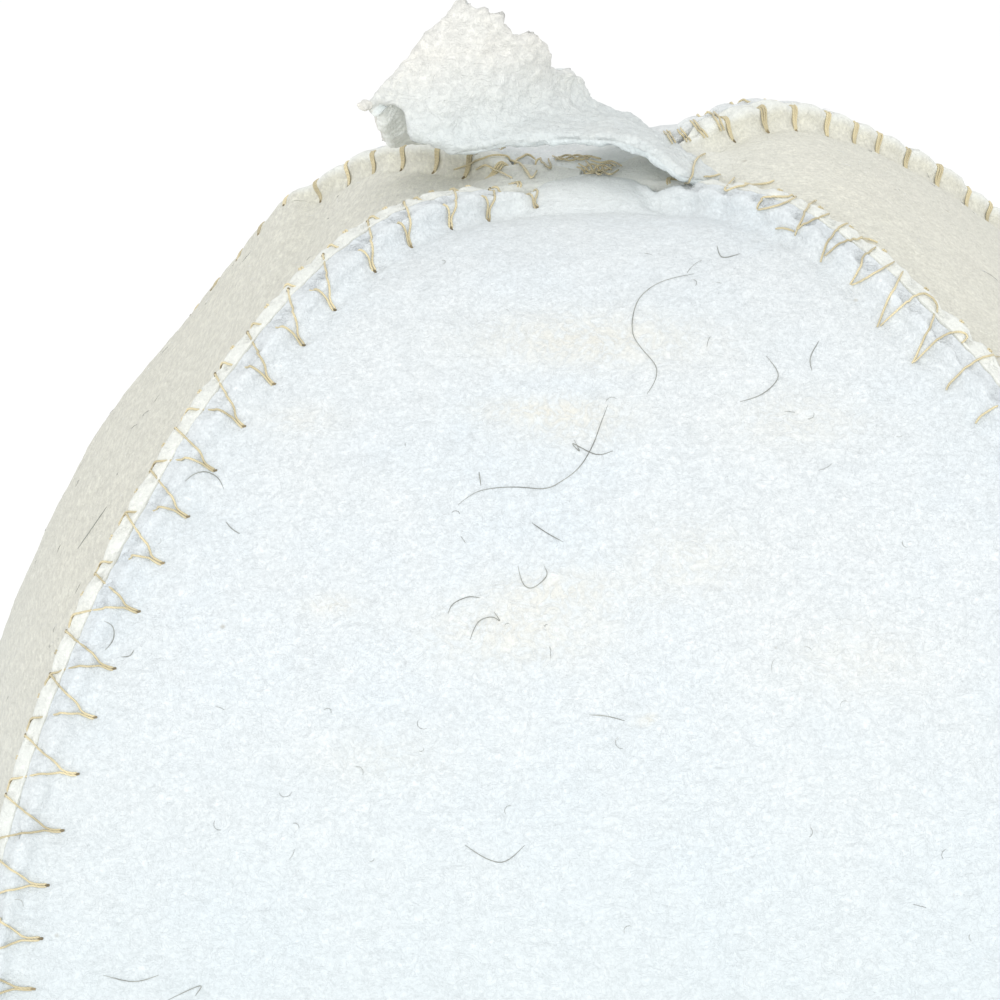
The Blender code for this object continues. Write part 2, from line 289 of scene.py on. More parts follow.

# Each gore's slot, cool tint, warm tint, flat area, painted shade towards the hem and contrast
# the cool white and warm beige tints are partly the felt's own colour, partly painted light on the front and
# back and painted shade on the sides
GORE_LOOKS = {
    "front": ("white_felt", (0.77, 0.84, 0.885), (0.82, 0.85, 0.855), 0.03199, 0.74, 1.3),
    "right": ("natural_felt", (0.88, 0.875, 0.76), (0.915, 0.89, 0.765), 0.03252, 0.36, 1.9),
    "back": ("white_felt", (0.85, 0.89, 0.90), (0.90, 0.90, 0.87), 0.03212, 0.36, 1.15),
    "left": ("natural_felt", (0.87, 0.87, 0.755), (0.915, 0.895, 0.76), 0.03168, 0.56, 2.4),
}
SEED_STEP = 0.37               # between the gores' own places in their patterns
LOOP_TINTS = ((0.88, 0.88, 0.84), (0.91, 0.875, 0.775))
# how strong the painted shade on the loop is
LOOP_SHADE_SHARE = 0.60
FLECK_COLOUR = (0.30, 0.25, 0.16, 1)
SMUDGE_COLOUR = (0.80, 0.70, 0.50, 1)
PALE_COLOUR = (0.885, 0.915, 0.89, 1)     # of the side gores' paler cut edges, and of painted light in the loop's shadow and on its inner face
PALE_SHARE = 0.85
# the colour of the painted shade on the gores and on the loop
PAINTED_SHADE_COLOUR = (0.62, 0.69, 0.71, 1)

# The picture: its camera and size
PICTURE = 1000
CAMERA_TURN = math.radians(3.44)
CAMERA_RISE = math.radians(15.13)
CAMERA_ROLL = math.radians(-2.39)
CAMERA_TARGET = (-21.67 * MM, 118 * MM, 42.37 * MM)   # right of, height of and up from the axis
CAMERA_DISTANCE = 0.9
PIXELS_PER_METRE = 8260
SENSOR_WIDTH = 36
CLIP_START = 0.02
# Lamps: how wide each is, and where it stands
LAMPS = {"key": (1.6, (-0.15, -2.1, 1.25)), "fill": (0.9, (0.1, -2.2, 0.75))}
LAMP_AIM = (0, 0, 0.15)
SKY_COLOUR = (0.985, 0.995, 1.0, 1)

# Threads laid one by one near the apex, as pixels of the picture
TRACED_THREADS = [
    [(796, 235), (803, 219), (811, 205), (816, 202)],
    [(798, 230), (812, 221), (828, 215)],
    [(777, 229), (785, 228), (795, 231)],
    [(821, 263), (828, 245), (839, 229), (847, 225)],
    [(826, 256), (839, 246), (853, 241), (866, 240), (877, 244)],
    [(850, 285), (861, 268), (862, 260), (876, 249)],
    [(852, 285), (869, 278), (894, 263)],
    [(877, 328), (889, 300), (902, 273)],
    [(880, 327), (897, 311), (914, 298), (927, 295), (937, 305), (936, 313)],
    [(912, 364), (921, 346), (935, 314)],
    [(914, 363), (931, 346), (950, 333), (966, 336), (962, 343)],
    [(946, 391), (951, 382), (980, 359), (998, 358)],
    [(975, 424), (982, 415), (998, 407)],
    [(705, 155), (695, 161), (691, 174), (686, 184)],
    [(703, 177), (711, 177), (720, 176)],
    [(735, 179), (724, 192), (744, 187), (766, 185), (774, 182)],
    [(758, 209), (763, 199), (779, 198), (796, 198)],
    [(759, 210), (779, 207), (796, 199)],
]
# Threads laid twice, the second one a little to the right
DOUBLED_THREADS = [
    [(664, 133), (668, 139), (672, 145)],
    [(678, 130), (683, 137), (687, 143)],
    [(691, 122), (698, 130), (704, 138)],
    [(711, 114), (716, 122), (720, 131)],
]
DOUBLED_STEP = (3, -1)
THREAD_LIFT = 1.6              # how many radii a laid thread lies off the felt
TANGLE_LIFT = 2.2
HAIR_LIFT = 1.2
THREAD_TAPER = 0.8             # how thick the ends of laid threads and hairs are
HAIR_TAPER = 0.4
# Loose ends that lie tangled beside the loop's root, as pixels of the picture
TANGLE = [
    [(455, 171), (468, 165), (482, 160), (499, 157), (513, 161), (525, 170), (531, 180)],
    [(478, 170), (488, 165), (499, 173), (512, 180)],
    [(521, 165), (526, 173), (532, 180), (537, 173)],
    [(541, 160), (546, 168), (551, 170), (549, 161)],
    [(553, 158), (563, 162), (577, 157), (588, 161)],
    [(556, 162), (568, 157), (581, 162), (592, 158)],
    [(559, 159), (571, 163), (585, 158), (601, 161)],
    [(579, 166), (590, 171), (602, 167), (612, 172)],
    [(582, 172), (593, 166), (604, 173), (613, 168)],
    [(586, 163), (592, 170), (599, 177), (608, 171)],
    [(578, 169), (587, 174), (598, 170), (609, 177), (619, 172)],
    [(585, 176), (597, 174), (606, 165), (616, 168)],
    [(590, 162), (601, 165), (611, 163), (622, 168)],
]

# Beige smudges on the felt, in pixels of the picture: x, y, half width, half height, strength
SMUDGE_SHARE = 0.8
SMUDGES = [
    (590, 340, 110, 26, 0.40), (540, 410, 65, 12, 0.35), (330, 605, 26, 9, 0.35), (515, 632, 90, 34, 0.34),
    (645, 718, 7, 4, 0.80), (575, 425, 60, 22, 0.26), (690, 560, 60, 40, 0.22), (560, 590, 60, 22, 0.30),
    (800, 420, 70, 30, 0.20), (380, 760, 60, 26, 0.18), (860, 660, 80, 40, 0.16), (300, 420, 40, 16, 0.18),
]

# The felts and their slots
FELTS = {"front_felt": "white_felt", "right_felt": "natural_felt", "back_felt": "white_felt",
         "left_felt": "natural_felt", "loop_felt": "loop_felt"}
# Loose strands scattered over the felt: seed, count, length and curl in radians of those to pick from
LOOSE_STRANDS = {"hairs": (5, 14, 2.2 * MM, 4.2), "fuzz": (8, 12, 1.1 * MM, 2.4)}
LOOSE_THICKNESS = {"hairs": 0.55, "fuzz": 0.45}     # of a long hair's
LOOSE_TILT = {"hairs": 0.05, "fuzz": 0.45}
LOOSE_SIZES = (0.5, 1.3)       # least and most that a scattered strand is scaled
LOOSE_LENGTHS = (0.6, 1.2)     # least and most of the length, for the strands to pick from
LOOSE_WANDER = 0.35
LOOSE_ARCH = 0.09 * MM         # how high a strand's middle arches, and how deep its ends are sunk
LOOSE_SUNK = 0.05 * MM
LOOP_FUZZ = 1.6                # how many times denser the fuzz is on the loop
LOOSE_STEPS = 7
STRAND_STEPS = 2
LAID_STEPS = 6
LAID_SMOOTHING = 2

# Long hairs in the felt, as pixels of the picture
LONG_HAIRS = [
    [(185, 481), (194, 474), (206, 472), (218, 478), (224, 489)],
    [(104, 621), (113, 627), (113, 640), (105, 650)],
    [(121, 657), (130, 656), (134, 650)],
    [(226, 522), (232, 529), (240, 534)],
    [(479, 472), (481, 486)],
    [(574, 440), (580, 452), (572, 443), (596, 455), (613, 451)],
    [(532, 523), (545, 532), (563, 542)],
    [(448, 614), (453, 604), (468, 597), (480, 598)],
    [(470, 640), (478, 622), (492, 617), (500, 621), (494, 612)],
    [(458, 505), (479, 491), (513, 487), (543, 489), (559, 483), (579, 468), (593, 445), (601, 423),
     (608, 405)],
    [(518, 566), (523, 584), (533, 588), (547, 576), (544, 566)],
    [(694, 274), (661, 282), (638, 300), (632, 330), (641, 348), (656, 366), (655, 381), (647, 394)],
    [(819, 341), (810, 358), (812, 371)],
    [(717, 246), (722, 258), (740, 254)],
    [(766, 356), (779, 376), (763, 394), (740, 402)],
    [(589, 715), (606, 716), (625, 721)],
    [(168, 1000), (201, 985), (195, 996)],
    [(103, 975), (134, 982), (159, 975)],
    [(78, 549), (94, 526), (107, 507)],
    [(465, 845), (485, 858), (505, 862), (525, 845)],
]


def unit(vectors):
    return vectors / np.linalg.norm(vectors, axis=-1, keepdims=True)


def smooth(value, low, high):
    """A rise from 0 at low to 1 at high, level at both."""
    part = min(1, max(0, (value - low) / (high - low)))
    return part * part * (3 - 2 * part)


def crown_rise(height):
    """The eased rise over the shoulder, as a share of the crown's."""
    over = max(0, height - SHOULDER_HEIGHT)
    return (math.hypot(over, CROWN_EASE) - CROWN_EASE) / CROWN_RISE


def half_width(height):
    """Half of the distance from seam to seam at a height, before the top is pressed in."""
    if height <= SHOULDER_HEIGHT:
        below = min(1, (SHOULDER_HEIGHT - height) / (SHOULDER_HEIGHT - HEM_UPRIGHT))
        return SHOULDER_HALF + (HEM_HALF - SHOULDER_HALF) * below ** 2
    closed = 1 - crown_rise(height) ** CROWN_RISE_POWER
    return SHOULDER_HALF * max(0, closed) ** (1 / CROWN_WIDTH_POWER)


def crown_height(half):
    """The height where the crown has closed to a half width."""
    part = 1 - (half / SHOULDER_HALF) ** CROWN_WIDTH_POWER
    eased = CROWN_RISE * max(0, part) ** (1 / CROWN_RISE_POWER) + CROWN_EASE
    return SHOULDER_HEIGHT + math.sqrt(eased ** 2 - CROWN_EASE ** 2)


@lru_cache
def section_heights():
    """Heights of the gores' rows, from the hem to the tip."""
    heights = list(HEM_ROWS)
    count = round((SIDE_FINE_FROM - heights[-1]) / SIDE_STEP)
    heights += list(np.linspace(heights[-1], SIDE_FINE_FROM, count + 1)[1:])
    count = round((SHOULDER_HEIGHT - SIDE_FINE_FROM) / SIDE_FINE_STEP)
    heights += list(np.linspace(SIDE_FINE_FROM, SHOULDER_HEIGHT, count + 1)[1:-1])
    for row in range(CROWN_ROWS):
        turn = math.radians(90) * (1 - row / CROWN_ROWS)
        open_share = math.sin(turn) ** CROWN_ROW_POWER
        heights.append(crown_height(TIP_HALF + (SHOULDER_HALF - TIP_HALF) * open_share))
    heights.append(crown_height(TIP_HALF))
    return heights


def crest(seam, height):
    """A point on the crest of a seam's rib."""
    side, depth, reach = SEAMS[seam]
    half = half_width(height)
    drop = APEX_DROP * math.exp(-(half / reach) ** 2)
    tuck = TUCKS.get(seam, 0) * math.exp(-((height - TUCK_HEIGHT) / TUCK_REACH) ** 2)
    point = Vector((side * (half - tuck), depth * (half - tuck), height - drop))
    return point + CROWN_LEAN * crown_rise(height)


def crest_frame(seam, height):
    """A crest point, and the directions along the seam, outward and across it."""
    side, depth, _ = SEAMS[seam]
    low, high = max(0, height - SLOPE_STEP), min(crown_height(TIP_HALF), height + SLOPE_STEP)
    along = (crest(seam, high) - crest(seam, low)).normalized()
    across = Vector((-depth, side, 0)).normalized()
    across = (across - along * across.dot(along)).normalized()
    outward = along.cross(across).normalized()
    if outward.dot(Vector((side, depth, 1))) < 0:
        outward.negate()
    roll = ROLLS.get(seam, 0) * (1 - smooth(height, *ROLL_RISE)) * smooth(height, *ROLL_FADE)
    if roll:
        cos, sin = math.cos(roll), math.sin(roll)
        across, outward = across * cos + outward * sin, outward * cos - across * sin
    return crest(seam, height), along, outward, across


def bow(gore, height):
    """The turn in radians with which a gore bows out at its seams."""
    level = height / crown_height(0)
    column = BOW_COLUMNS.index(gore)
    turn = BOW_TABLE[0][column]
    for below, above in zip(BOW_TABLE, BOW_TABLE[1:]):
        turn += (above[column] - below[column]) * smooth(level, below[0], above[0])
    return math.radians(turn)


def rib_path(frame_at, chord, bow_angle, half, felt, seam_gap):
    """The felt's middle line from a seam's cut edge to where the open gore starts."""
    point, along, outward, across = frame_at
    if across.dot(chord) < 0:
        across = -across
    flat_chord = chord - along * chord.dot(along)
    slant = math.atan2(flat_chord.dot(across), -flat_chord.dot(outward))
    last = slant + bow_angle
    stand = smooth(half, *RIB_FADE)
    first = last * (1 - stand)
    gap = seam_gap / 2 + RIB_FADE_GAP * 4 * stand * (1 - stand)
    start = point + across * (gap + felt / 2 * abs(math.cos(first)))
    start = start - outward * (felt / 2 * math.sin(first))

    def heading(angle):
        return across * math.sin(angle) - outward * math.cos(angle)

    points = [start, start + heading(first) * (RIB_UPRIGHT * stand)]
    for step in range(BEND_STEPS):
        middle = first + (last - first) * (step + 0.5) / BEND_STEPS
        length = RIB_BEND_RADIUS * (last - first) / BEND_STEPS
        if length > 0:
            points.append(points[-1] + heading(middle) * length)
    leave = heading(last) * flat_chord.length + along * chord.dot(along)
    return points, leave.normalized()


def bezier(a, b, c, d, t):
    """A point on the curve from a to d that leaves towards b and arrives from c."""
    s = 1 - t
    return a * s ** 3 + b * 3 * s * s * t + c * 3 * s * t * t + d * t ** 3


def spline(a, b, c, d, t):
    """A point between b and c on a smooth curve through a, b, c and d."""
    return 0.5 * (2 * b + (c - a) * t + (2 * a - 5 * b + 4 * c - d) * t * t
                  + (3 * b - a - 3 * c + d) * t ** 3)


def resample(path, distances):
    """Points at the given distances along a path of points."""
    path = np.array(path)
    lengths = np.concatenate(([0], np.cumsum(np.linalg.norm(np.diff(path, axis=0), axis=1))))
    return np.stack([np.interp(distances, lengths, path[:, axis]) for axis in range(3)], axis=1)


def gore_row(gore, height, felt, seam_gap):
    """One row of a gore, along the middle of its felt."""
    left, right = GORES[gore]
    half = half_width(height)
    frames = [crest_frame(seam, height) for seam in (left, right)]
    chord = (frames[1][0] - frames[0][0]).normalized()
    angle = bow(gore, height)
    first, leave = rib_path(frames[0], chord, angle, half, felt, seam_gap)
    last, arrive = rib_path(frames[1], -chord, angle, half, felt, seam_gap)
    reach = (last[-1] - first[-1]).length / 3
    corners = (first[-1], first[-1] + leave * reach, last[-1] + arrive * reach, last[-1])
    path = first + [bezier(*corners, i / SPAN_STEPS) for i in range(1, SPAN_STEPS)] + last[::-1]
    length = sum((b - a).length for a, b in zip(path, path[1:]))
    near = min(1, length / 2 / ((EDGE_COLUMNS[-1] + 2) * MM))
    half_row = [d * MM * near for d in EDGE_COLUMNS]
    step = (length / 2 - half_row[-1]) / SPAN_COLUMNS
    half_row += [half_row[-1] + step * (i + 1) for i in range(SPAN_COLUMNS)]
    return resample([tuple(p) for p in path], half_row + [length - d for d in half_row[-2::-1]])


def grid_quads(index):
    """The quads between the rows and columns of a grid of point numbers."""
    corners = index[:-1, :-1], index[:-1, 1:], index[1:, 1:], index[1:, :-1]
    return np.stack(corners, axis=-1).reshape(-1, 4)


class Shell:
    """A sheet of felt with soft cut edges: grids of its outer and inner face, and their normals.

    Both faces have the same rows and columns and share their first and last column, which
    run along the middle of the cut edges.
    """

    def __init__(self, middle, thickness, corner, insets=(), inner_radius=None):
        rows = middle.shape[0]
        across = unit(np.gradient(middle, axis=1))
        along = unit(np.gradient(middle, axis=0))
        normal = unit(np.cross(across, along))
        half = np.full((rows, 1), thickness / 2)
        for row, inset in enumerate(insets):
            half[row] -= inset
        corner = np.minimum(corner, half * LARGEST_CORNER)
        self.faces, self.normals = [], []
        for side in (1, -1):
            radius = np.minimum(corner, inner_radius) if side < 0 and inner_radius else corner
            facing = side * normal
            sizes = half, corner, radius
            start, start_normal = self.cut_corner(middle[:, 0], -across[:, 0], facing[:, 0], *sizes)
            end, end_normal = self.cut_corner(middle[:, -1], across[:, -1], facing[:, -1], *sizes)
            body = middle + facing * half[:, None]
            self.faces.append(np.concatenate((start, body, end[:, ::-1]), axis=1))
            self.normals.append(np.concatenate((start_normal, facing, end_normal[:, ::-1]), axis=1))

    def cut_corner(self, edge, beyond, normal, half, corner, radius):
        """Points from the middle of a cut edge round its corner, up to the face."""
        points, normals = [edge + beyond * corner], [beyond]
        for step in range(CUT_CORNER_STEPS):
            turn = math.radians(90) * (1 - step / CUT_CORNER_STEPS)
            way = normal * math.cos(turn) + beyond * math.sin(turn)
            points.append(edge + beyond * (corner - radius) + normal * (half - radius) + way * radius)
            normals.append(way)
        return np.stack(points, axis=1), np.stack(normals, axis=1)

    def move(self, side, heights):
        """Raises one face by a height at each point, keeping the shared cut edge shared."""
        self.faces[side] = self.faces[side] + self.normals[side] * heights[..., None]
        for column in (0, -1):
            self.faces[1 - side][:, column] = self.faces[side][:, column]

    def mesh(self, name):
        """The closed mesh of both faces, with the first and last rows joined."""
        outer, inner = self.faces
        rows, columns = outer.shape[:2]
        points = np.concatenate((outer.reshape(-1, 3), inner[:, 1:-1].reshape(-1, 3)))
        outer_index = np.arange(rows * columns).reshape(rows, columns)
        inner_index = outer_index.copy()
        inner_index[:, 1:-1] = rows * columns + np.arange(rows * (columns - 2)).reshape(rows, columns - 2)
        faces = []
        for grid, turned in ((outer_index, False), (inner_index, True)):
            quads = grid_quads(grid)
            faces += (quads[:, ::-1] if turned else quads).tolist()
        for row, turned in ((0, True), (-1, False)):
            a, b = outer_index[row], inner_index[row]
            for i in range(columns - 1):
                corners = list(dict.fromkeys((a[i], a[i + 1], b[i + 1], b[i])))
                faces.append(corners[::-1] if turned else corners)
        mesh = bpy.data.meshes.new(name)
        mesh.from_pydata(points.tolist(), [], [[int(i) for i in face] for face in faces])
        mesh.update()
        mesh.shade_smooth()
        return mesh

    def values(self, outer, inner):
        """One value a point, in the mesh's order, from a grid for each face."""
        return np.concatenate((outer.reshape(-1), inner[:, 1:-1].reshape(-1)))


def paint(mesh, name, values, kind="FLOAT"):
    """Keeps one value a point as a named attribute that the materials and trees read."""
    attribute = mesh.attributes.new(name, kind, "POINT")
    numbers = np.asarray(values, dtype=np.int32 if kind == "INT" else np.float32)
    attribute.data.foreach_set("vector" if kind == "FLOAT_VECTOR" else "value", numbers.reshape(-1))


def mesh_points(mesh):
    return np.array([v.co for v in mesh.vertices])


def lumps(points, sizes):
    """Uneven felt: a sum of soft noises, each given as (its size, its height)."""
    flat = points.reshape(-1, 3)
    total = np.zeros(len(flat))
    for size, height in sizes:
        scaled = flat / size
        total += height * np.array([noise.noise(Vector(p)) for p in scaled])
    return total.reshape(points.shape[:-1])


@lru_cache
def seam_lengths(seam):
    """Distance from the apex along a seam, for each row."""
    points = np.array([crest(seam, height) for height in section_heights()])
    steps = np.linalg.norm(np.diff(points, axis=0), axis=1)
    return np.concatenate((np.cumsum(steps[::-1])[::-1], [0])) + TIP_HALF * math.sqrt(2)


@lru_cache
def stitch_marks(seam):
    """Distances from the apex of a seam's stitches, evenly on from the last one listed."""
    marks = list(STITCHES[seam])
    random = np.random.default_rng(hash_name(seam))
    end = (seam_lengths(seam)[0] - HEM_STITCH_MARGIN) / MM
    while marks[-1] + STITCH_PITCH[seam] < end:
        marks.append(marks[-1] + STITCH_PITCH[seam] + random.uniform(-PITCH_SPREAD, PITCH_SPREAD))
    return np.array(marks) * MM


def hash_name(name):
    """A fixed number for a name, to seed what is random on that piece."""
    return sum((i + 1) * ord(letter) for i, letter in enumerate(name))


def is_face_seam(seam):
    """Whether the seam shows its forked side to the front."""
    return seam in GORES["front"]


def needle_across(marks):
    """How far from the crease the needle holes lie on the forked side."""
    places, across = np.array(NEEDLE_TABLE).T * MM
    return np.interp(marks, places, across)


def stitch_leans(seam, marks):
    """The angle by which each stitch leans uphill."""
    if not is_face_seam(seam):
        return np.zeros(len(marks))
    return np.array([LEAN * (1 - smooth(mark, *LEAN_FADE)) for mark in marks])


def looseness(seam, mark):
    """How loosely a stitch sits in the felt: 1 where the rib is rolled."""
    return smooth(mark, *LOOSE_RISE) * (1 - smooth(mark, *LOOSE_FADE)) if seam in ROLLS else 0


def bump(off, width):
    """A soft bump, 1 at its middle."""
    return np.exp(-(off / width) ** 2)


def pinch(seam, lengths, distance, forked, felt):
    """How far the thread presses the felt in, at distances along and from a seam's crease."""
    marks = stitch_marks(seam)
    across = (distance + felt / 2) * (-1 if forked else 1)
    along = lengths[:, None]
    total = np.zeros(across.shape)
    places, spreads = np.array(SPREAD_TABLE).T * MM
    for mark, needle, lean in zip(marks, needle_across(marks), stitch_leans(seam, marks)):
        loose = looseness(seam, mark)
        reach = across + needle
        off = along - mark + reach * math.sin(lean)
        cord = bump(off, DIMPLE_WIDTH)
        hole = cord * bump(reach, DIMPLE_WIDTH)
        back_hole = cord * bump(across - REVERSE_HOLE, DIMPLE_WIDTH)
        if is_face_seam(seam):
            spread = np.interp(reach, places, spreads)
            on_legs = np.clip(reach / MM, 0, 1) * np.clip((FORK_REACH + LEG_FADE - reach) / LEG_FADE, 0, 1)
            legs = bump(np.abs(off) - spread, LEG_WIDTH) * on_legs
            on_back = np.clip((across - FAR_EDGE) / MM, 0, 1) * np.clip((BEHIND_REACH - across) / MM, 0, 1)
            total += (LEG_DEPTH + CORNER_DEPTH * bump(reach - CORNER_PLACE, CORNER_WIDTH)) * legs
            total += FORK_HOLE_DEPTHS[0] * hole + FORK_HOLE_DEPTHS[1] * back_hole
            total += BEHIND_DEPTH * cord * on_back
        else:
            on_rib = np.clip((GROOVE_REACH - np.abs(across)) / GROOVE_FADE, 0, 1)
            marked = GROOVE_DEPTH * bump(off, GROOVE_WIDTH) * on_rib
            marked += BACK_HOLE_DEPTHS[0] * hole + BACK_HOLE_DEPTHS[1] * back_hole
            total += marked * (1 - LOOSE_SHARE * loose)
    return total


@lru_cache
def gore_shell(gore, felt, seam_gap, lump_height):
    """One gore's felt, with its lumps and the pinch of its stitches."""
    middle = np.array([gore_row(gore, height, felt, seam_gap) for height in section_heights()])
    shell = Shell(middle, felt, EDGE_COLUMNS[0] * MM, HEM_INSETS, CREASE_RADIUS)
    sizes = [(size, lump_height * share) for size, share in GORE_LUMPS]
    outer = shell.faces[0]
    heights = lumps(outer, sizes)
    under = lumps(shell.faces[1], sizes)
    forked = gore in FACE_GORES
    for seam, distance in zip(GORES[gore], edge_distances(outer)):
        heights -= pinch(seam, seam_lengths(seam), distance, forked, felt)
    for seam, distance in zip(GORES[gore], edge_distances(shell.faces[1])):
        inside = np.clip(1 - distance / CREASE_REACH, 0, 1)
        under -= pinch(seam, seam_lengths(seam), -distance, forked, felt) * inside
    fade = np.clip(seam_lengths(GORES[gore][0]) / CALM_REACH, CALM_LEAST, 1)[:, None]
    shell.move(1, under * fade)
    shell.move(0, heights * fade)
    return shell


def edge_distances(face):
    """The distances along a face's rows from its left and from its right cut edge."""
    steps = np.linalg.norm(np.diff(face, axis=1), axis=2)
    from_left = np.concatenate((np.zeros((len(face), 1)), np.cumsum(steps, axis=1)), axis=1)
    return from_left, from_left[:, -1:] - from_left


def new_object(name, mesh):
    """A mesh as a new object of the scene."""
    made = bpy.data.objects.new(name, mesh)
    bpy.context.scene.collection.objects.link(made)
    return made


def photo_axes():
    """The camera's right, up and backward directions, and its place."""
    back = Vector((math.sin(CAMERA_TURN) * math.cos(CAMERA_RISE),
                   -math.cos(CAMERA_TURN) * math.cos(CAMERA_RISE), math.sin(CAMERA_RISE)))
    right = Vector((math.cos(CAMERA_TURN), math.sin(CAMERA_TURN), 0))
    up = back.cross(right)
    cos, sin = math.cos(CAMERA_ROLL), math.sin(CAMERA_ROLL)
    right, up = right * cos + up * sin, up * cos - right * sin
    shift, height, lift = CAMERA_TARGET
    target = Vector((0, 0, height)) + right * shift + up * lift
    return right, up, back, target + back * CAMERA_DISTANCE


def photo_ray(pixel):
    """Start and direction of the ray through a pixel of the picture."""
    right, up, back, eye = photo_axes()
    reach = PIXELS_PER_METRE * CAMERA_DISTANCE
    x, y = pixel[0] - PICTURE / 2, PICTURE / 2 - pixel[1]
    return eye, (right * x + up * y - back * reach).normalized()


def pictured(points):
    """The pixels of the picture at which points appear."""
    right, up, back, eye = (np.array(axis) for axis in photo_axes())
    offset = points - eye
    scale = PIXELS_PER_METRE * CAMERA_DISTANCE / -(offset @ back)
    return np.stack((PICTURE / 2 + scale * (offset @ right), PICTURE / 2 - scale * (offset @ up)), axis=-1)


@lru_cache
def felt_tree():
    """A search tree over all the felts."""
    points, faces = [], []
    for name in FELTS:
        mesh = bpy.data.objects[name].data
        start = len(points)
        points += [v.co.copy() for v in mesh.vertices]
        faces += [[start + i for i in face.vertices] for face in mesh.polygons]
    return BVHTree.FromPolygons(points, faces)


def land(pixels, lift):
    """Points on the felt that the camera sees at pixels of the picture, lifted off it."""
    found = []
    for pixel in pixels:
        spot, normal, _, _ = felt_tree().ray_cast(*photo_ray(pixel))
        if spot is None:
            raise RuntimeError(f"no felt at pixel {pixel}")
        found.append(spot + normal * lift)
    return found


def laid(pixels, lift):
    """A path over the felt that the camera sees along a smooth curve through pixels of the picture."""
    line = smooth_path([Vector((*pixel, 0)) for pixel in pixels], LAID_STEPS)
    points = land([(p.x, p.y) for p in line], lift)
    for _ in range(LAID_SMOOTHING):
        inner = [(a + b * 2 + c) / 4 for a, b, c in zip(points, points[1:], points[2:])]
        points = points[:1] + inner + points[-1:]
    for i, point in enumerate(points):
        spot, normal, _, _ = felt_tree().find_nearest(point)
        if (point - spot).dot(normal) < lift:
            points[i] = spot + normal * lift
    return points


def smooth_path(points, steps):
    """More points on a smooth curve through the given ones."""
    ends = [points[0]] + list(points) + [points[-1]]
    path = [spline(*ends[i:i + 4], step / steps) for i in range(len(points) - 1) for step in range(steps)]
    return path + [points[-1]]


def add_tube(bm, path, radius, taper, sides=6):
    """Adds a closed tube along a path to bm, thinner at its ends."""
    count = len(path)
    rings = []
    side = None
    for i, point in enumerate(path):
        way = (path[min(i + 1, count - 1)] - path[max(i - 1, 0)]).normalized()
        side = (side or way.orthogonal())
        side = (side - way * side.dot(way)).normalized()
        up = way.cross(side)
        end = min(i, count - 1 - i) / max(1, (count - 1) / 4)
        size = radius * (taper + (1 - taper) * min(1, end))
        turns = [2 * math.pi * k / sides for k in range(sides)]
        rings.append([bm.verts.new(point + (side * math.cos(t) + up * math.sin(t)) * size) for t in turns])
    for low, high in zip(rings, rings[1:]):
        for k in range(sides):
            bm.faces.new((low[k], low[(k + 1) % sides], high[(k + 1) % sides], high[k]))
    bm.faces.new(rings[0][::-1])
    bm.faces.new(rings[-1])


def laid_tubes(name, lines, radius, taper, material):
    """Tubes laid over the felt, each given as its pixels and its lift in radii."""
    bm = bmesh.new()
    for pixels, lift in lines:
        add_tube(bm, laid(pixels, radius * lift), radius, taper)
    mesh = bpy.data.meshes.new(name)
    bm.to_mesh(mesh)
    bm.free()
    mesh.shade_smooth()
    mesh.materials.append(material)
    return new_object(name, mesh)


def strands_object(name, strands):
    """An edges-only mesh object of open strands, given as lists of points."""
    points, edges = [], []
    for strand in strands:
        edges += [(len(points) + i, len(points) + i + 1) for i in range(len(strand) - 1)]
        points += [tuple(p) for p in strand]
    mesh = bpy.data.meshes.new(name)
    mesh.from_pydata(points, edges, [])
    return new_object(name, mesh)


# Materials

def feed(tree, socket, value):
    """Links an output to an input socket, or sets the input to a value."""
    if isinstance(value, bpy.types.NodeSocket):
        tree.links.new(value, socket)
    else:
        socket.default_value = value


def add_node(tree, kind, settings=None, **inputs):
    """A new node with its settings, and its inputs set to values or linked to outputs."""
    node = tree.nodes.new(kind)
    for key, value in (settings or {}).items():
        setattr(node, key, value)
    for key, value in inputs.items():
        numbered = key.startswith("in") and key[2:].isdigit()
        feed(tree, node.inputs[int(key[2:]) if numbered else key.replace("_", " ")], value)
    return node


def new_material(name, roughness, sheen=0.0):
    """A new material, its node tree and its shader."""
    material = bpy.data.materials.new(name)
    material.use_nodes = True
    shader = material.node_tree.nodes["Principled BSDF"]
    shader.inputs["Roughness"].default_value = roughness
    shader.inputs["Sheen Weight"].default_value = sheen
    shader.inputs["Sheen Roughness"].default_value = 0.55
    shader.inputs["Specular IOR Level"].default_value = 0.2
    return material, material.node_tree, shader


def mix_colour(tree, share, a, b):
    """A colour that lies by a share of the way from a to b."""
    node = add_node(tree, "ShaderNodeMix", {"data_type": "RGBA"})
    for number, value in ((0, share), (6, a), (7, b)):
        feed(tree, node.inputs[number], value)
    return node.outputs[2]


def ramp(tree, value, low, high, low_to=0.0, high_to=1.0):
    """A value carried from one range to another and kept inside it."""
    node = add_node(tree, "ShaderNodeMapRange", None, Value=value, From_Min=low, From_Max=high,
                    To_Min=low_to, To_Max=high_to)
    return node.outputs[0]


def math_node(tree, operation, a, b=0.0):
    return add_node(tree, "ShaderNodeMath", {"operation": operation}, in0=a, in1=b).outputs[0]


def soft_noise(tree, vector, scale, detail=3.0, roughness=0.5, distortion=0.0):
    """An even noise in space, finer with a larger scale."""
    return add_node(tree, "ShaderNodeTexNoise", None, Vector=vector, Scale=scale, Detail=detail,
                    Roughness=roughness, Distortion=distortion).outputs[0]


def mapped(tree, vector, **inputs):
    """Places moved or drawn out before a pattern reads them."""
    return add_node(tree, "ShaderNodeMapping", None, Vector=vector, **inputs).outputs[0]


def painted(tree, name):
    """A value that was painted on the points."""
    return add_node(tree, "ShaderNodeAttribute", {"attribute_name": name}).outputs["Fac"]


def shade(colour, factor):
    """A colour made darker or brighter."""
    return (*[min(1, c * factor) for c in colour], 1)


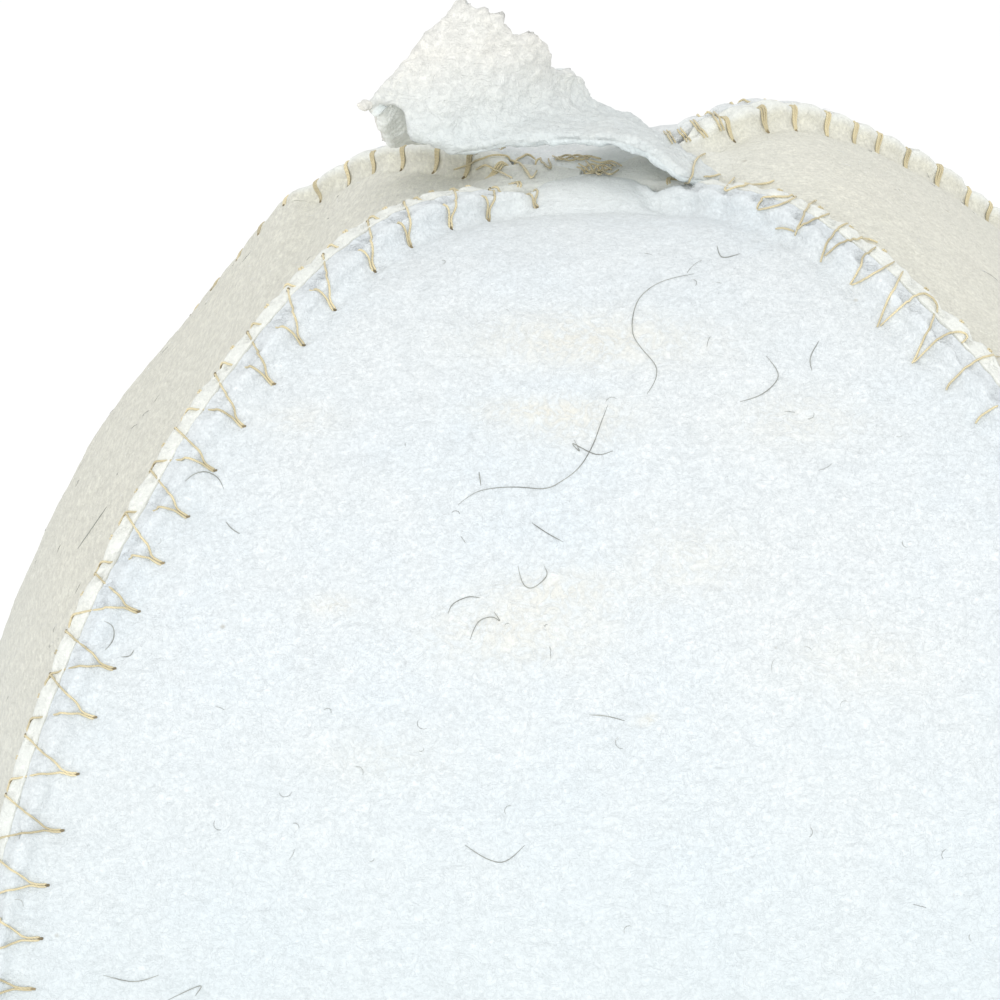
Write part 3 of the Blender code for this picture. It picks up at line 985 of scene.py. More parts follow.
def felt_material(name, colour, cool, warm, coarse=1.0, contrast=1.0, seed=0.0, depth=1.0):
    """Matted wool: clouds of tint, fine mottling, curled fibres, flecks and painted smudges."""
    material, tree, shader = new_material(name, 0.93, sheen=0.25)
    place = add_node(tree, "ShaderNodeTexCoord").outputs["Object"]
    moved = mapped(tree, place, Location=(seed, seed * 0.7, 0))
    flat = mapped(tree, moved, Scale=(1, 1, 1.25))
    drawn = mapped(tree, moved, Scale=(1, depth, 1))
    clouds = soft_noise(tree, moved, 38.0, 4.0, 0.6)
    patches = soft_noise(tree, moved, 230.0, 4.0, 0.7)
    mottle = soft_noise(tree, moved, 420.0, 5.0, 0.65)
    lines = soft_noise(tree, flat, 520.0 / coarse, 3.0, 0.6, 2.2)
    fibres = soft_noise(tree, flat, 1050.0 / coarse, 5.0, 0.7, 0.9)
    grain = soft_noise(tree, drawn, 2300.0 / coarse, 3.0, 0.6)
    ridge = math_node(tree, "ABSOLUTE", math_node(tree, "SUBTRACT", lines, 0.5))
    curl = ramp(tree, ridge, 0.0, 0.05, 1.0, 0.0)
    tint = mix_colour(tree, ramp(tree, clouds, 0.38, 0.62), (*cool, 1), (*warm, 1))
    tint = mix_colour(tree, ramp(tree, patches, 0.35, 0.65, 0.55, 0.0), tint, (*warm, 1))
    for pattern, low, high, share, dark in ((mottle, 0.3, 0.7, 0.35, 0.84),
                                            (fibres, 0.35, 0.65, 0.40, 0.76),
                                            (grain, 0.38, 0.62, 0.36, 0.70)):
        hollow = ramp(tree, pattern, low, high, share * contrast, 0.0)
        tint = mix_colour(tree, hollow, tint, shade(colour, dark))
    tint = mix_colour(tree, math_node(tree, "MULTIPLY", curl, 0.12), tint, shade(colour, 1.14))
    cells = add_node(tree, "ShaderNodeTexVoronoi", None, Vector=flat, Scale=210.0)
    chance = add_node(tree, "ShaderNodeSeparateColor", None, Color=cells.outputs["Color"]).outputs[0]
    near = ramp(tree, cells.outputs["Distance"], 0.03, 0.09, 1.0, 0.0)
    fleck = math_node(tree, "MULTIPLY", near, ramp(tree, chance, 0.9, 0.93))
    tint = mix_colour(tree, math_node(tree, "MULTIPLY", fleck, 0.5), tint, FLECK_COLOUR)
    patchy = math_node(tree, "MULTIPLY", painted(tree, "smudge"), ramp(tree, lines, 0.35, 0.6, 0.25, 1.0))
    tint = mix_colour(tree, patchy, tint, SMUDGE_COLOUR)
    # paler cut edges, and painted light in the loop's shadow and on the loop's inner face
    tint = mix_colour(tree, math_node(tree, "MULTIPLY", painted(tree, "pale"), PALE_SHARE), tint, PALE_COLOUR)
    # painted shade: darker towards the hem, and on the loop's lower front layer
    tint = mix_colour(tree, painted(tree, "grey"), tint, PAINTED_SHADE_COLOUR)
    tree.links.new(tint, shader.inputs["Base Color"])
    height = math_node(tree, "MULTIPLY", fibres, 0.6)
    for pattern, share in ((curl, 0.12), (grain, 0.3), (mottle, 0.9)):
        height = math_node(tree, "ADD", height, math_node(tree, "MULTIPLY", pattern, share))
    raised = add_node(tree, "ShaderNodeBump", None, Strength=0.7, Distance=0.5 * MM * coarse, Height=height)
    tree.links.new(raised.outputs[0], shader.inputs["Normal"])
    tree.links.new(ramp(tree, fibres, 0.3, 0.7, 0.86, 1.0), shader.inputs["Roughness"])
    return material


def thread_material(name, colour):
    """Twisted sewing thread: fine slanted ply lines and slow changes of tint."""
    material, tree, shader = new_material(name, 0.6, sheen=0.15)
    place = add_node(tree, "ShaderNodeTexCoord").outputs["Object"]
    tone = soft_noise(tree, place, 170.0)
    ply = add_node(tree, "ShaderNodeTexWave", {"wave_type": "BANDS", "bands_direction": "DIAGONAL"},
                   Vector=place, Scale=1400.0, Distortion=2.5, Detail=2.0)
    tint = mix_colour(tree, ramp(tree, tone, 0.35, 0.65), shade(colour, 0.72), shade(colour, 1.16))
    tint = mix_colour(tree, ramp(tree, ply.outputs["Fac"], 0.0, 1.0, 0.35, 0.0), tint, shade(colour, 0.55))
    tree.links.new(tint, shader.inputs["Base Color"])
    raised = add_node(tree, "ShaderNodeBump", None, Strength=0.5, Distance=0.08 * MM,
                      Height=ply.outputs["Fac"])
    tree.links.new(raised.outputs[0], shader.inputs["Normal"])
    return material


def hair_material(name, colour, roughness=0.45):
    """A wool hair: its tint changes along its length."""
    material, tree, shader = new_material(name, roughness)
    place = add_node(tree, "ShaderNodeTexCoord").outputs["Object"]
    tone = soft_noise(tree, place, 260.0)
    tint = mix_colour(tree, ramp(tree, tone, 0.35, 0.65), shade(colour, 0.7), shade(colour, 1.5))
    tree.links.new(tint, shader.inputs["Base Color"])
    return material


# Geometry Nodes

def new_tree(name, sockets):
    """A node tree with named inputs, given as (name, kind, default), and its in and out nodes."""
    tree = bpy.data.node_groups.new(name, "GeometryNodeTree")
    tree.interface.new_socket("Geometry", in_out="INPUT", socket_type="NodeSocketGeometry")
    for label, kind, default in sockets:
        socket = tree.interface.new_socket(label, in_out="INPUT", socket_type="NodeSocket" + kind)
        if default is not None:
            socket.default_value = default
    tree.interface.new_socket("Geometry", in_out="OUTPUT", socket_type="NodeSocketGeometry")
    return tree, tree.nodes.new("NodeGroupInput"), tree.nodes.new("NodeGroupOutput")


def finish_tree(tree, geometry, material, out):
    """Ends a tree in Realize Instances, smooth shading and Set Material."""
    real = add_node(tree, "GeometryNodeRealizeInstances", None, Geometry=geometry)
    soft = add_node(tree, "GeometryNodeSetShadeSmooth", None, Geometry=real.outputs[0])
    done = add_node(tree, "GeometryNodeSetMaterial", None, Geometry=soft.outputs[0], Material=material)
    tree.links.new(done.outputs[0], out.inputs[0])


def tube_nodes(tree, strands, radius, sides):
    """Turns edge strands into closed tubes."""
    curve = add_node(tree, "GeometryNodeMeshToCurve", None, Mesh=strands)
    ring = add_node(tree, "GeometryNodeCurvePrimitiveCircle", None, Resolution=sides, Radius=radius)
    return add_node(tree, "GeometryNodeCurveToMesh", None, Curve=curve.outputs[0],
                    Profile_Curve=ring.outputs[0], Fill_Caps=True).outputs[0]


def attribute(tree, kind, name):
    """A named attribute of the points."""
    return add_node(tree, "GeometryNodeInputNamedAttribute", {"data_type": kind}, Name=name).outputs[0]


def object_shape(tree, source):
    """The geometry of the object that a socket names."""
    return add_node(tree, "GeometryNodeObjectInfo", {"transform_space": "ORIGINAL"},
                    Object=source).outputs["Geometry"]


def random_value(tree, start, low, high):
    """A number for each point, from the tree's own seed."""
    return add_node(tree, "FunctionNodeRandomValue", {"data_type": "FLOAT"}, in2=low, in3=high,
                    Seed=start.outputs["Seed"]).outputs[1]


@lru_cache
def stitch_tree():
    """Lays a flat stitch at each mark of a seam, on the seam's surface."""
    tree, start, out = new_tree("stitch_run", [
        ("Stitch", "Object", None), ("Seam", "Object", None),
        ("Thread radius", "Float", 0.17 * MM), ("Thread", "Material", None)])
    stitch = object_shape(tree, start.outputs["Stitch"])
    seam = object_shape(tree, start.outputs["Seam"])
    lean = add_node(tree, "ShaderNodeCombineXYZ", None, Z=attribute(tree, "FLOAT", "lean"))
    placed = add_node(tree, "GeometryNodeInstanceOnPoints", None, Points=start.outputs[0],
                      Instance=stitch, Rotation=lean.outputs[0],
                      Scale=attribute(tree, "FLOAT_VECTOR", "stretch"))
    flat = add_node(tree, "GeometryNodeRealizeInstances", None, Geometry=placed.outputs[0])
    place = add_node(tree, "GeometryNodeInputPosition").outputs[0]
    height = add_node(tree, "ShaderNodeSeparateXYZ", None, Vector=place).outputs[2]
    sampled = []
    for value in (place, attribute(tree, "FLOAT_VECTOR", "out")):
        node = add_node(tree, "GeometryNodeSampleUVSurface", {"data_type": "FLOAT_VECTOR"},
                        Mesh=seam, Value=value,
                        Source_UV_Map=attribute(tree, "FLOAT_VECTOR", "seam_place"), Sample_UV=place)
        sampled.append(node.outputs[0])
    lifted = add_node(tree, "ShaderNodeVectorMath", {"operation": "SCALE"}, Vector=sampled[1], Scale=height)
    spot = add_node(tree, "ShaderNodeVectorMath", {"operation": "ADD"}, in0=sampled[0], in1=lifted.outputs[0])
    laid = add_node(tree, "GeometryNodeSetPosition", None, Geometry=flat.outputs[0], Position=spot.outputs[0])
    tubes = tube_nodes(tree, laid.outputs[0], start.outputs["Thread radius"], 6)
    finish_tree(tree, tubes, start.outputs["Thread"], out)
    return tree


@lru_cache
def scatter_tree():
    """Scatters strands over the felt, each lying along the surface in its own direction."""
    tree, start, out = new_tree("strand_scatter", [
        ("Strands", "Object", None), ("Density", "Float", 1000.0), ("Seed", "Int", 0),
        ("Shortest", "Float", 0.5), ("Longest", "Float", 1.5), ("Tilt", "Float", 0.2),
        ("Strand radius", "Float", 0.04 * MM), ("Finish", "Material", None)])
    points = add_node(tree, "GeometryNodeDistributePointsOnFaces", None, Mesh=start.outputs[0],
                      Density=start.outputs["Density"], Seed=start.outputs["Seed"],
                      Selection=attribute(tree, "BOOLEAN", "outside"))
    strands = object_shape(tree, start.outputs["Strands"])
    islands = add_node(tree, "GeometryNodeSplitToInstances", {"domain": "POINT"}, Geometry=strands,
                       Group_ID=attribute(tree, "INT", "strand"))
    tilt = random_value(tree, start, 0.0, start.outputs["Tilt"])
    turn = add_node(tree, "ShaderNodeCombineXYZ", None, Z=random_value(tree, start, 0.0, 2 * math.pi))
    dip = add_node(tree, "ShaderNodeCombineXYZ", None, Y=math_node(tree, "MULTIPLY", tilt, -1.0))
    rotation = points.outputs["Rotation"]
    for step in (turn, dip):
        rotation = add_node(tree, "FunctionNodeRotateRotation", {"rotation_space": "LOCAL"},
                            Rotation=rotation, Rotate_By=step.outputs[0]).outputs[0]
    size = random_value(tree, start, start.outputs["Shortest"], start.outputs["Longest"])
    placed = add_node(tree, "GeometryNodeInstanceOnPoints", None, Points=points.outputs["Points"],
                      Instance=islands.outputs[0], Pick_Instance=True, Rotation=rotation, Scale=size)
    real = add_node(tree, "GeometryNodeRealizeInstances", None, Geometry=placed.outputs[0])
    tubes = tube_nodes(tree, real.outputs[0], start.outputs["Strand radius"], 3)
    finish_tree(tree, tubes, start.outputs["Finish"], out)
    return tree


def grown(name, base, tree, values):
    """Runs a node tree on base and keeps the result as a plain mesh object."""
    modifier = base.modifiers.new(name, "NODES")
    modifier.node_group = tree
    for item in tree.interface.items_tree:
        if item.in_out == "INPUT" and item.name in values:
            modifier[item.identifier] = values[item.name]
    graph = bpy.context.evaluated_depsgraph_get()
    mesh = bpy.data.meshes.new_from_object(base.evaluated_get(graph))
    mesh.name = name
    if not mesh.polygons:
        raise RuntimeError(f"{name} came out empty")
    base.modifiers.remove(modifier)
    return new_object(name, mesh)


def seam_guide(seam, settings):
    """The surface over one seam as a strip, with each point's distances along and across it."""
    left_gore = next(gore for gore, sides in GORES.items() if sides[1] == seam)
    right_gore = next(gore for gore, sides in GORES.items() if sides[0] == seam)
    parts = []
    for gore, flip in ((left_gore, True), (right_gore, False)):
        shell = gore_shell(gore, *settings)
        points, normals = shell.faces[0], shell.normals[0]
        if flip:
            points, normals = points[:, ::-1], normals[:, ::-1]
        distance = edge_distances(points)[0]
        keep = min(int((distance[0] < SEAM_REACH).sum()), points.shape[1] // 2)
        sign = -1 if gore in FACE_GORES else 1
        parts.append((sign, points[:, :keep], normals[:, :keep], distance[:, :keep]))
    parts.sort(key=lambda part: part[0])
    (_, a, a_normal, a_far), (_, b, b_normal, b_far) = parts
    points = np.concatenate((a[:, ::-1], b), axis=1)
    normals = np.concatenate((a_normal[:, ::-1], b_normal), axis=1)
    across = np.concatenate((-a_far[:, ::-1] - settings[0] / 2, b_far + settings[0] / 2), axis=1)
    along = np.repeat(seam_lengths(seam)[:, None], points.shape[1], axis=1)
    rows, columns = across.shape
    quads = grid_quads(np.arange(rows * columns).reshape(rows, columns))
    if right_gore in FACE_GORES:
        quads = np.roll(quads, 1, axis=1)     # splits its quads along the same diagonals as the felt
    mesh = bpy.data.meshes.new(seam + "_guide")
    mesh.from_pydata(points.reshape(-1, 3).tolist(), [], quads.tolist())
    paint(mesh, "seam_place", np.stack((along, across, np.zeros_like(along)), axis=-1), "FLOAT_VECTOR")
    paint(mesh, "out", normals, "FLOAT_VECTOR")
    return new_object(seam + "_guide", mesh)


def remove(*objects):
    for made in objects:
        bpy.data.objects.remove(made, do_unlink=True)


def gore_settings(hat):
    """The settings that shape the gores and their seams."""
    return hat.felt_thickness, hat.seam_gap, hat.lump_height


def length_setting(name, description, default):
    return FloatProperty(name=name, description=description, default=default, unit="LENGTH",
                         subtype="DISTANCE")


def colour_setting(name, description, default):
    return FloatVectorProperty(name=name, description=description, default=default, size=3, subtype="COLOR")


class HatSettings(PropertyGroup):
    """Sizes and colours of the hat"""
    felt_thickness: length_setting("Felt thickness", "Thickness of the gores' felt", 2.8 * MM)
    loop_thickness: length_setting("Loop thickness", "Thickness of the hanging loop's felt", 1.8 * MM)
    seam_gap: length_setting("Seam gap", "Left between the cut edges of two gores", 0.06 * MM)
    lump_height: length_setting("Lump height", "Height of the felt's softest lumps", 0.22 * MM)
    thread_radius: length_setting("Thread radius", "Radius of the sewing thread", 0.13 * MM)
    # the dark strands in the needle holes are painted shadow
    hole_shadow_radius: length_setting("Hole radius", "Radius of the dark fill of the needle holes", 0.17 * MM)
    hair_radius: length_setting("Hair radius", "Radius of the long dark hairs in the felt", 0.048 * MM)
    hair_density: FloatProperty(
        name="Hair density", description="Short dark hairs on a square metre of felt", default=5200)
    fuzz_density: FloatProperty(
        name="Fuzz density", description="Pale fibres on a square metre of felt", default=13000)
    # partly the felt's own colour and partly painted light and shade: the front and back gores' cool white as
    # lit, the side gores' warm beige as shaded
    white_felt: colour_setting("White felt", "Colour of the front and back gores", (0.79, 0.84, 0.86))
    natural_felt: colour_setting("Natural felt", "Colour of the side gores", (0.86, 0.845, 0.735))
    loop_felt: colour_setting("Loop felt", "Colour of the hanging loop", (0.90, 0.895, 0.85))
    thread: colour_setting("Thread", "Colour of the sewing thread", (0.72, 0.63, 0.405))
    # painted shadow: colour of the dark strands in the needle holes and at the far edge
    hole: colour_setting("Needle hole", "Colour of the needle holes' dark fill", (0.22, 0.18, 0.11))
    fuzz: colour_setting("Fuzz", "Colour of the pale fibres", (0.86, 0.885, 0.88))
    hair: colour_setting("Hair", "Colour of the dark hairs", (0.25, 0.255, 0.23))


class StudioSettings(PropertyGroup):
    """The floor and the light"""
    floor_size: length_setting("Floor size", "Side of the floor", 16)
    floor_colour: colour_setting("Floor colour", "Colour of the floor", (0.99, 0.985, 0.98))
    sky: FloatProperty(name="Sky", description="Strength of the even light from all round", default=1.0)
    key: FloatProperty(name="Key", description="Power of the large soft lamp", default=11, subtype="POWER")
    fill: FloatProperty(
        name="Fill", description="Power of the soft lamp over the camera", default=10, subtype="POWER")


def smudges(mesh):
    """How strongly each point lies in one of the beige smudges that the picture shows."""
    pixels = pictured(mesh_points(mesh))
    total = np.zeros(len(pixels))
    for x, y, half_width, half_height, strength in SMUDGES:
        spot = bump(pixels[:, 0] - x, half_width) * bump(pixels[:, 1] - y, half_height)
        total += SMUDGE_SHARE * strength * spot
    return np.clip(total, 0, 1)


def cut_paleness(face):
    """How pale each point of a face is: 1 on the cut edge, fading behind its corner."""
    nearest = np.minimum(*edge_distances(face))
    return np.clip((CUT_PALE[1] - nearest) / (CUT_PALE[1] - CUT_PALE[0]), 0, 1)


class SAUNAHAT_OT_gores(Operator):
    """Builds the four felt gores with their raised, pinched seams"""
    bl_idname = "sauna_hat.gores"
    bl_label = "Gores"

    def execute(self, context):
        hat = context.scene.sauna_hat
        for number, (gore, (slot, cool, warm, area, painted_shade_share, contrast)) in enumerate(GORE_LOOKS.items()):
            shell = gore_shell(gore, *gore_settings(hat))
            mesh = shell.mesh(gore + "_felt")
            columns = shell.faces[0].shape[1]
            above_hem = np.repeat((np.array(section_heights()) > HEM_BARE)[:, None], columns, axis=1)
            paint(mesh, "outside", shell.values(above_hem, above_hem * 0))
            paint(mesh, "smudge", smudges(mesh) * (gore != "back"))
            places = mesh_points(mesh)
            # painted shade, strongest towards the hem
            low, high = GORE_SHADE_HEIGHTS
            paint(mesh, "grey", painted_shade_share * np.clip((high - places[:, 2]) / (high - low), 0, 1))
            # painted light: the felt in the loop's shadow is made paler; the side gores' cut edges share this
            # attribute
            apart = places - LOOP_SHADOW_LIGHT_PLACE
            painted_light_under_loop = np.exp(-((apart ** 2).sum(axis=1) / LOOP_SHADOW_LIGHT_REACH ** 2))
            cut = shell.values(*[cut_paleness(face) for face in shell.faces])
            paint(mesh, "pale", np.maximum(cut * (0 if gore in FACE_GORES else CUT_SHARE), painted_light_under_loop))
            mesh.materials.append(felt_material(
                gore + "_wool", getattr(hat, slot), cool, warm, contrast=contrast, seed=number * SEED_STEP,
                depth=LEFT_GRAIN if gore == "left" else 1))
            made = new_object(gore + "_felt", mesh)
            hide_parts(gore + "_gore")
            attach(made, "root")
        return {"FINISHED"}


def loop_middle():
    """Rows of the hanging loop along the middle of its felt."""
    apex = crest("front_left", crown_height(0))
    table = [(apex + Vector(row[:3]) * MM, apex + Vector(row[3:]) * MM) for row in LOOP_TABLE]
    table = [table[0]] + table + [table[-1]]
    rows = []
    for i in range(1, len(table) - 2):
        for step in range(LOOP_STEPS):
            rows.append([spline(*(table[i + k][edge] for k in (-1, 0, 1, 2)), step / LOOP_STEPS)
                         for edge in (0, 1)])
    rows.append(table[-2])
    grid = []
    places, near_shares, far_shares = np.array(LOOP_EDGE_TABLE).T
    for row, (near, far) in enumerate(rows):
        place = row / LOOP_STEPS
        low = np.interp(place, places, near_shares)
        high = np.interp(place, places, far_shares) + ragged(place)
        shares = [low + (high - low) * i / LOOP_ACROSS for i in range(LOOP_ACROSS + 1)]
        grid.append([near + (far - near) * share for share in shares])
    return np.array(grid)


def ragged(place):
    """How much further than its even width the loop's torn edge reaches, as a share."""
    torn = sum(noise.noise(Vector((place * pace, start, 0))) * height for pace, start, height in TEARS)
    return torn * smooth(place, *TEAR_START) * (1 - smooth(place, *TEAR_END))


class SAUNAHAT_OT_loop(Operator):
    """Builds the hanging loop, a coarse felt strip with one torn edge"""
    bl_idname = "sauna_hat.loop"
    bl_label = "Hanging loop"

    def execute(self, context):
        hat = context.scene.sauna_hat
        middle = loop_middle()
        ends = [min(row, len(middle) - 1 - row) for row in range(len(middle))]
        taper = [LOOP_TAPER * max(0, 1 - end / LOOP_STEPS) for end in ends]
        shell = Shell(middle, hat.loop_thickness, LOOP_CORNER, taper)
        for side in (1, 0):
            shell.move(side, lumps(shell.faces[side], LOOP_LUMPS))
        mesh = shell.mesh("loop_felt")
        paint(mesh, "outside", np.ones(len(mesh.vertices)))
        rows, columns = shell.faces[0].shape[:2]
        # painted light: the loop's whole inner face is made paler against the shade inside the loop
        paint(mesh, "pale", shell.values(np.zeros((rows, columns)), np.ones((rows, columns))))
        paint(mesh, "smudge", np.zeros(len(mesh.vertices)))
        # painted shade on the loop's front layer, darker towards its lower edge and none behind the fold
        heights = mesh_points(mesh)[:, 2] - crest("front_left", crown_height(0)).z
        low, high = LOOP_SHADE_HEIGHTS
        turned = np.arange(rows) / LOOP_STEPS
        facing = np.clip((RETURN_SECTIONS[1] - turned) / (RETURN_SECTIONS[1] - RETURN_SECTIONS[0]), 0, 1)
        facing = np.repeat(facing[:, None], columns, axis=1)
        painted_shade_share = LOOP_SHADE_SHARE * np.clip((high - heights) / (high - low), 0, 1)
        paint(mesh, "grey", painted_shade_share * shell.values(facing, facing))
        mesh.materials.append(felt_material("loop_wool", hat.loop_felt, *LOOP_TINTS, coarse=1.5, contrast=1.7,
                                            seed=2.1))
        bm = bmesh.new()
        bm.from_mesh(mesh)
        corner = Vector(middle[round(NUB_SECTION * LOOP_STEPS)][0]) + Vector(NUB_OFFSET)
        place = Matrix.Translation(corner) @ Matrix.Diagonal((NUB_LENGTH, 1, 1, 1))
        nub = bmesh.ops.create_icosphere(bm, subdivisions=4, radius=NUB_RADIUS, matrix=place)
        for vert in nub["verts"]:
            vert.co += (vert.co - corner) * noise.noise(vert.co / NUB_LUMPS[0]) * NUB_LUMPS[1]
        for face in {face for vert in nub["verts"] for face in vert.link_faces}:
            face.smooth = True
        bm.to_mesh(mesh)
        bm.free()
        made = new_object("loop_felt", mesh)
        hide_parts("hanging_loop")
        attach(made, "root")
        return {"FINISHED"}


def stitch_points(seam, marks):
    """Points at the needle holes of a seam, with each stitch's lean and size."""
    random = np.random.default_rng(hash_name(seam))
    needles = needle_across(marks)
    mesh = bpy.data.meshes.new(seam + "_marks")
    mesh.from_pydata([(mark, -needle, 0) for mark, needle in zip(marks, needles)], [], [])
    paint(mesh, "lean", stitch_leans(seam, marks) + random.normal(0, LEAN_SPREAD, len(marks)))
    width = random.normal(1, WIDTH_SPREAD, len(marks))
    height = np.array([1 - LOOSE_SHARE * looseness(seam, mark) for mark in marks])
    paint(mesh, "stretch", np.stack((width, (needles + FAR_EDGE) / FORK_REACH, height), axis=1),
          "FLOAT_VECTOR")
    return new_object(seam + "_marks", mesh)


def traced_lines():
    """The threads near the apex, with the second one of each pair that is laid twice."""
    lines = list(TRACED_THREADS)
    right, down = DOUBLED_STEP
    for line in DOUBLED_THREADS:
        lines += [line, [(x + right, y + down) for x, y in line]]
    return lines


class SAUNAHAT_OT_stitches(Operator):
    """Sews the four seams with forked overlock stitches"""
    bl_idname = "sauna_hat.stitches"
    bl_label = "Stitches"

    def execute(self, context):
        hat = context.scene.sauna_hat
        thread = thread_material("tan_thread", hat.thread)
        # painted shadow: dark strands in the needle holes
        hole = hair_material("needle_holes", hat.hole, 0.9)
        kinds = {"fork": FORK_STRANDS + REVERSE_STRANDS, "reverse": REVERSE_STRANDS, "back": BACK_STRANDS,
                 "fork_holes": HOLE_SHADOW_STRANDS, "back_holes": BACK_HOLE_SHADOW_STRANDS}
        flat = {}
        for kind, strands in kinds.items():
            paths = [smooth_path([Vector(p) * MM for p in strand], STRAND_STEPS) for strand in strands]
            flat[kind] = strands_object(kind + "_stitch", paths)
        for seam in SEAMS:
            guide = seam_guide(seam, gore_settings(hat))
            marks = stitch_marks(seam)
            traced = TRACED_STITCHES.get(seam, 0)
            kind = "fork" if is_face_seam(seam) else "back"
            runs = [("_stitches", kind, marks[traced:], hat.thread_radius, thread),
                    ("_holes", kind + "_holes", marks[traced:], hat.hole_shadow_radius, hole)]
            if traced and is_face_seam(seam):
                runs.append(("_undersides", "reverse", marks[:traced], hat.thread_radius, thread))
            for ending, kind, places, radius, finish in runs:
                base = stitch_points(seam, places)
                made = grown(seam + ending, base, stitch_tree(), {
                    "Stitch": flat[kind], "Seam": guide, "Thread radius": radius, "Thread": finish})
                remove(base)
                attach(made, "root")
            remove(guide)
        remove(*flat.values())
        lines = [(line, THREAD_LIFT) for line in traced_lines()] + [(line, TANGLE_LIFT) for line in TANGLE]
        made = laid_tubes("laid_threads", lines, hat.thread_radius, THREAD_TAPER, thread)
        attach(made, "root")
        return {"FINISHED"}


def loose_strands(name, seed, count, length, curl):
    """An object of loose strands that lie along +X and +Y, numbered for picking one of them."""
    random = np.random.default_rng(seed)
    strands = []
    for _ in range(count):
        turn, bend = random.uniform(0, 2 * math.pi), random.uniform(-curl, curl)
        point, strand = np.zeros(2), []
        reach = length * random.uniform(*LOOSE_LENGTHS)
        for step in range(LOOSE_STEPS + 1):
            part = step / LOOSE_STEPS
            lift = math.sin(math.pi * part) * LOOSE_ARCH - LOOSE_SUNK
            strand.append((point[0], point[1], lift))
            turn += (bend + random.uniform(-LOOSE_WANDER, LOOSE_WANDER)) / LOOSE_STEPS
            point = point + np.array((math.cos(turn), math.sin(turn))) * reach / LOOSE_STEPS
        strands.append(strand)
    made = strands_object(name, strands)
    paint(made.data, "strand", [i for i, strand in enumerate(strands) for _ in strand], "INT")
    return made


class SAUNAHAT_OT_hairs(Operator):
    """Lays the long dark hairs and scatters short ones and pale fuzz over the felt"""
    bl_idname = "sauna_hat.hairs"
    bl_label = "Hairs and fuzz"

    def execute(self, context):
        hat = context.scene.sauna_hat
        dark = hair_material("kemp", hat.hair)
        made = laid_tubes("long_hairs", [(line, HAIR_LIFT) for line in LONG_HAIRS], hat.hair_radius,
                          HAIR_TAPER, dark)
        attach(made, "root")
        fuzz = hair_material("wool_fuzz", hat.fuzz, 0.8)
        sets = {kind: loose_strands(kind, *shape) for kind, shape in LOOSE_STRANDS.items()}
        for number, felt in enumerate(FELTS):
            scatters = (("hairs", hat.hair_density, dark),
                        ("fuzz", hat.fuzz_density * (LOOP_FUZZ if felt == "loop_felt" else 1), fuzz))
            for kind, density, finish in scatters:
                made = grown(felt.replace("felt", kind), bpy.data.objects[felt], scatter_tree(), {
                    "Strands": sets[kind], "Density": density, "Seed": number, "Shortest": LOOSE_SIZES[0],
                    "Longest": LOOSE_SIZES[1], "Tilt": LOOSE_TILT[kind],
                    "Strand radius": hat.hair_radius * LOOSE_THICKNESS[kind], "Finish": finish})
                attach(made, "root")
        remove(*sets.values())
        return {"FINISHED"}


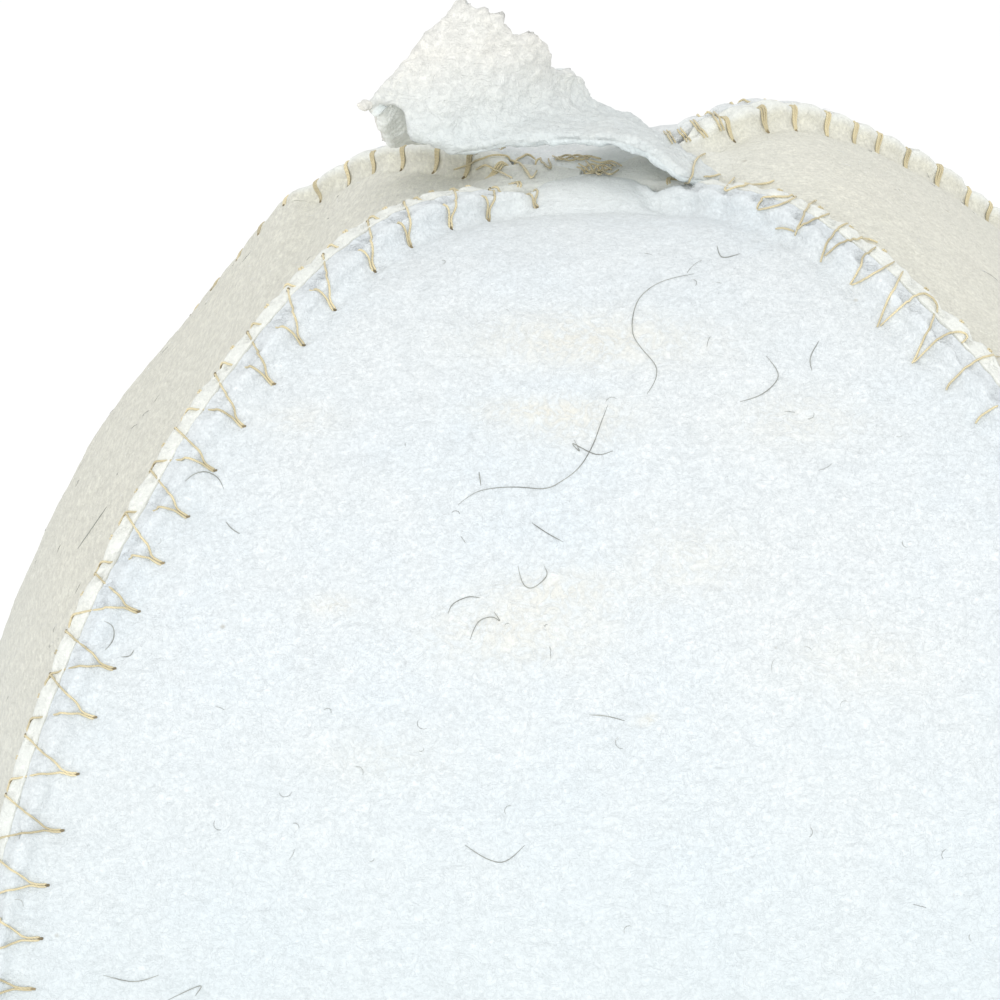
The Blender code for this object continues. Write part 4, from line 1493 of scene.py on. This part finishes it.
class SAUNAHAT_OT_studio(Operator):
    """Sets the floor, the soft light and the camera"""
    bl_idname = "sauna_hat.studio"
    bl_label = "Studio"

    def execute(self, context):
        scene, studio = context.scene, context.scene.sauna_studio
        half = studio.floor_size / 2
        mesh = bpy.data.meshes.new("studio_floor")
        corners = [(-half, -half, 0), (half, -half, 0), (half, half, 0), (-half, half, 0)]
        mesh.from_pydata(corners, [], [(0, 1, 2, 3)])
        material, _, shader = new_material("pale_floor", 1.0)
        shader.inputs["Base Color"].default_value = (*studio.floor_colour, 1)
        shader.inputs["Specular IOR Level"].default_value = 0.0
        mesh.materials.append(material)
        floor = new_object("studio_floor", mesh)
        world = bpy.data.worlds.new("soft_sky")
        world.use_nodes = True
        light = world.node_tree.nodes["Background"]
        light.inputs[0].default_value = SKY_COLOUR
        light.inputs[1].default_value = studio.sky
        scene.world = world
        for name, (size, place) in LAMPS.items():
            lamp = bpy.data.lights.new(name, "AREA")
            lamp.shape = "DISK"
            lamp.size = size
            lamp.energy = getattr(studio, name)
            made = bpy.data.objects.new(name, lamp)
            made.location = place
            made.rotation_euler = (Vector(place) - Vector(LAMP_AIM)).to_track_quat("Z", "Y").to_euler()
            scene.collection.objects.link(made)
        right, up, back, eye = photo_axes()
        data = bpy.data.cameras.new("camera")
        data.sensor_width = SENSOR_WIDTH
        data.lens = PIXELS_PER_METRE * CAMERA_DISTANCE / PICTURE * data.sensor_width
        data.clip_start = CLIP_START
        camera = bpy.data.objects.new("camera", data)
        scene.collection.objects.link(camera)
        camera.matrix_world = Matrix((
            (right.x, up.x, back.x, eye.x), (right.y, up.y, back.y, eye.y),
            (right.z, up.z, back.z, eye.z), (0, 0, 0, 1)))
        scene.camera = camera
        scene.view_settings.view_transform = "Standard"
        return {"FINISHED"}


class SAUNAHAT_PT_sidebar(Panel):
    """Lists the hat's pieces in the order in which they are made"""
    bl_label = "Sauna Hat"
    bl_idname = "SAUNAHAT_PT_sidebar"
    bl_space_type = "VIEW_3D"
    bl_region_type = "UI"
    bl_category = "Sauna Hat"

    def draw(self, context):
        for operator in OPERATORS:
            self.layout.operator(operator.bl_idname)
        for settings in (context.scene.sauna_hat, context.scene.sauna_studio):
            for name in settings.bl_rna.properties.keys():
                if name not in ("rna_type", "name"):
                    self.layout.prop(settings, name)


OPERATORS = (SAUNAHAT_OT_gores, SAUNAHAT_OT_loop, SAUNAHAT_OT_stitches, SAUNAHAT_OT_hairs, SAUNAHAT_OT_studio)
CLASSES = (HatSettings, StudioSettings, *OPERATORS, SAUNAHAT_PT_sidebar)


def register():
    for made in CLASSES:
        bpy.utils.register_class(made)
    bpy.types.Scene.sauna_hat = PointerProperty(type=HatSettings)
    bpy.types.Scene.sauna_studio = PointerProperty(type=StudioSettings)


def unregister():
    del bpy.types.Scene.sauna_studio
    del bpy.types.Scene.sauna_hat
    for made in reversed(CLASSES):
        bpy.utils.unregister_class(made)


def main():
    register()
    bpy.ops.sauna_hat.gores()
    bpy.ops.sauna_hat.loop()
    bpy.ops.sauna_hat.stitches()
    bpy.ops.sauna_hat.hairs()
    bpy.ops.sauna_hat.studio()


if __name__ == "__main__":
    main()
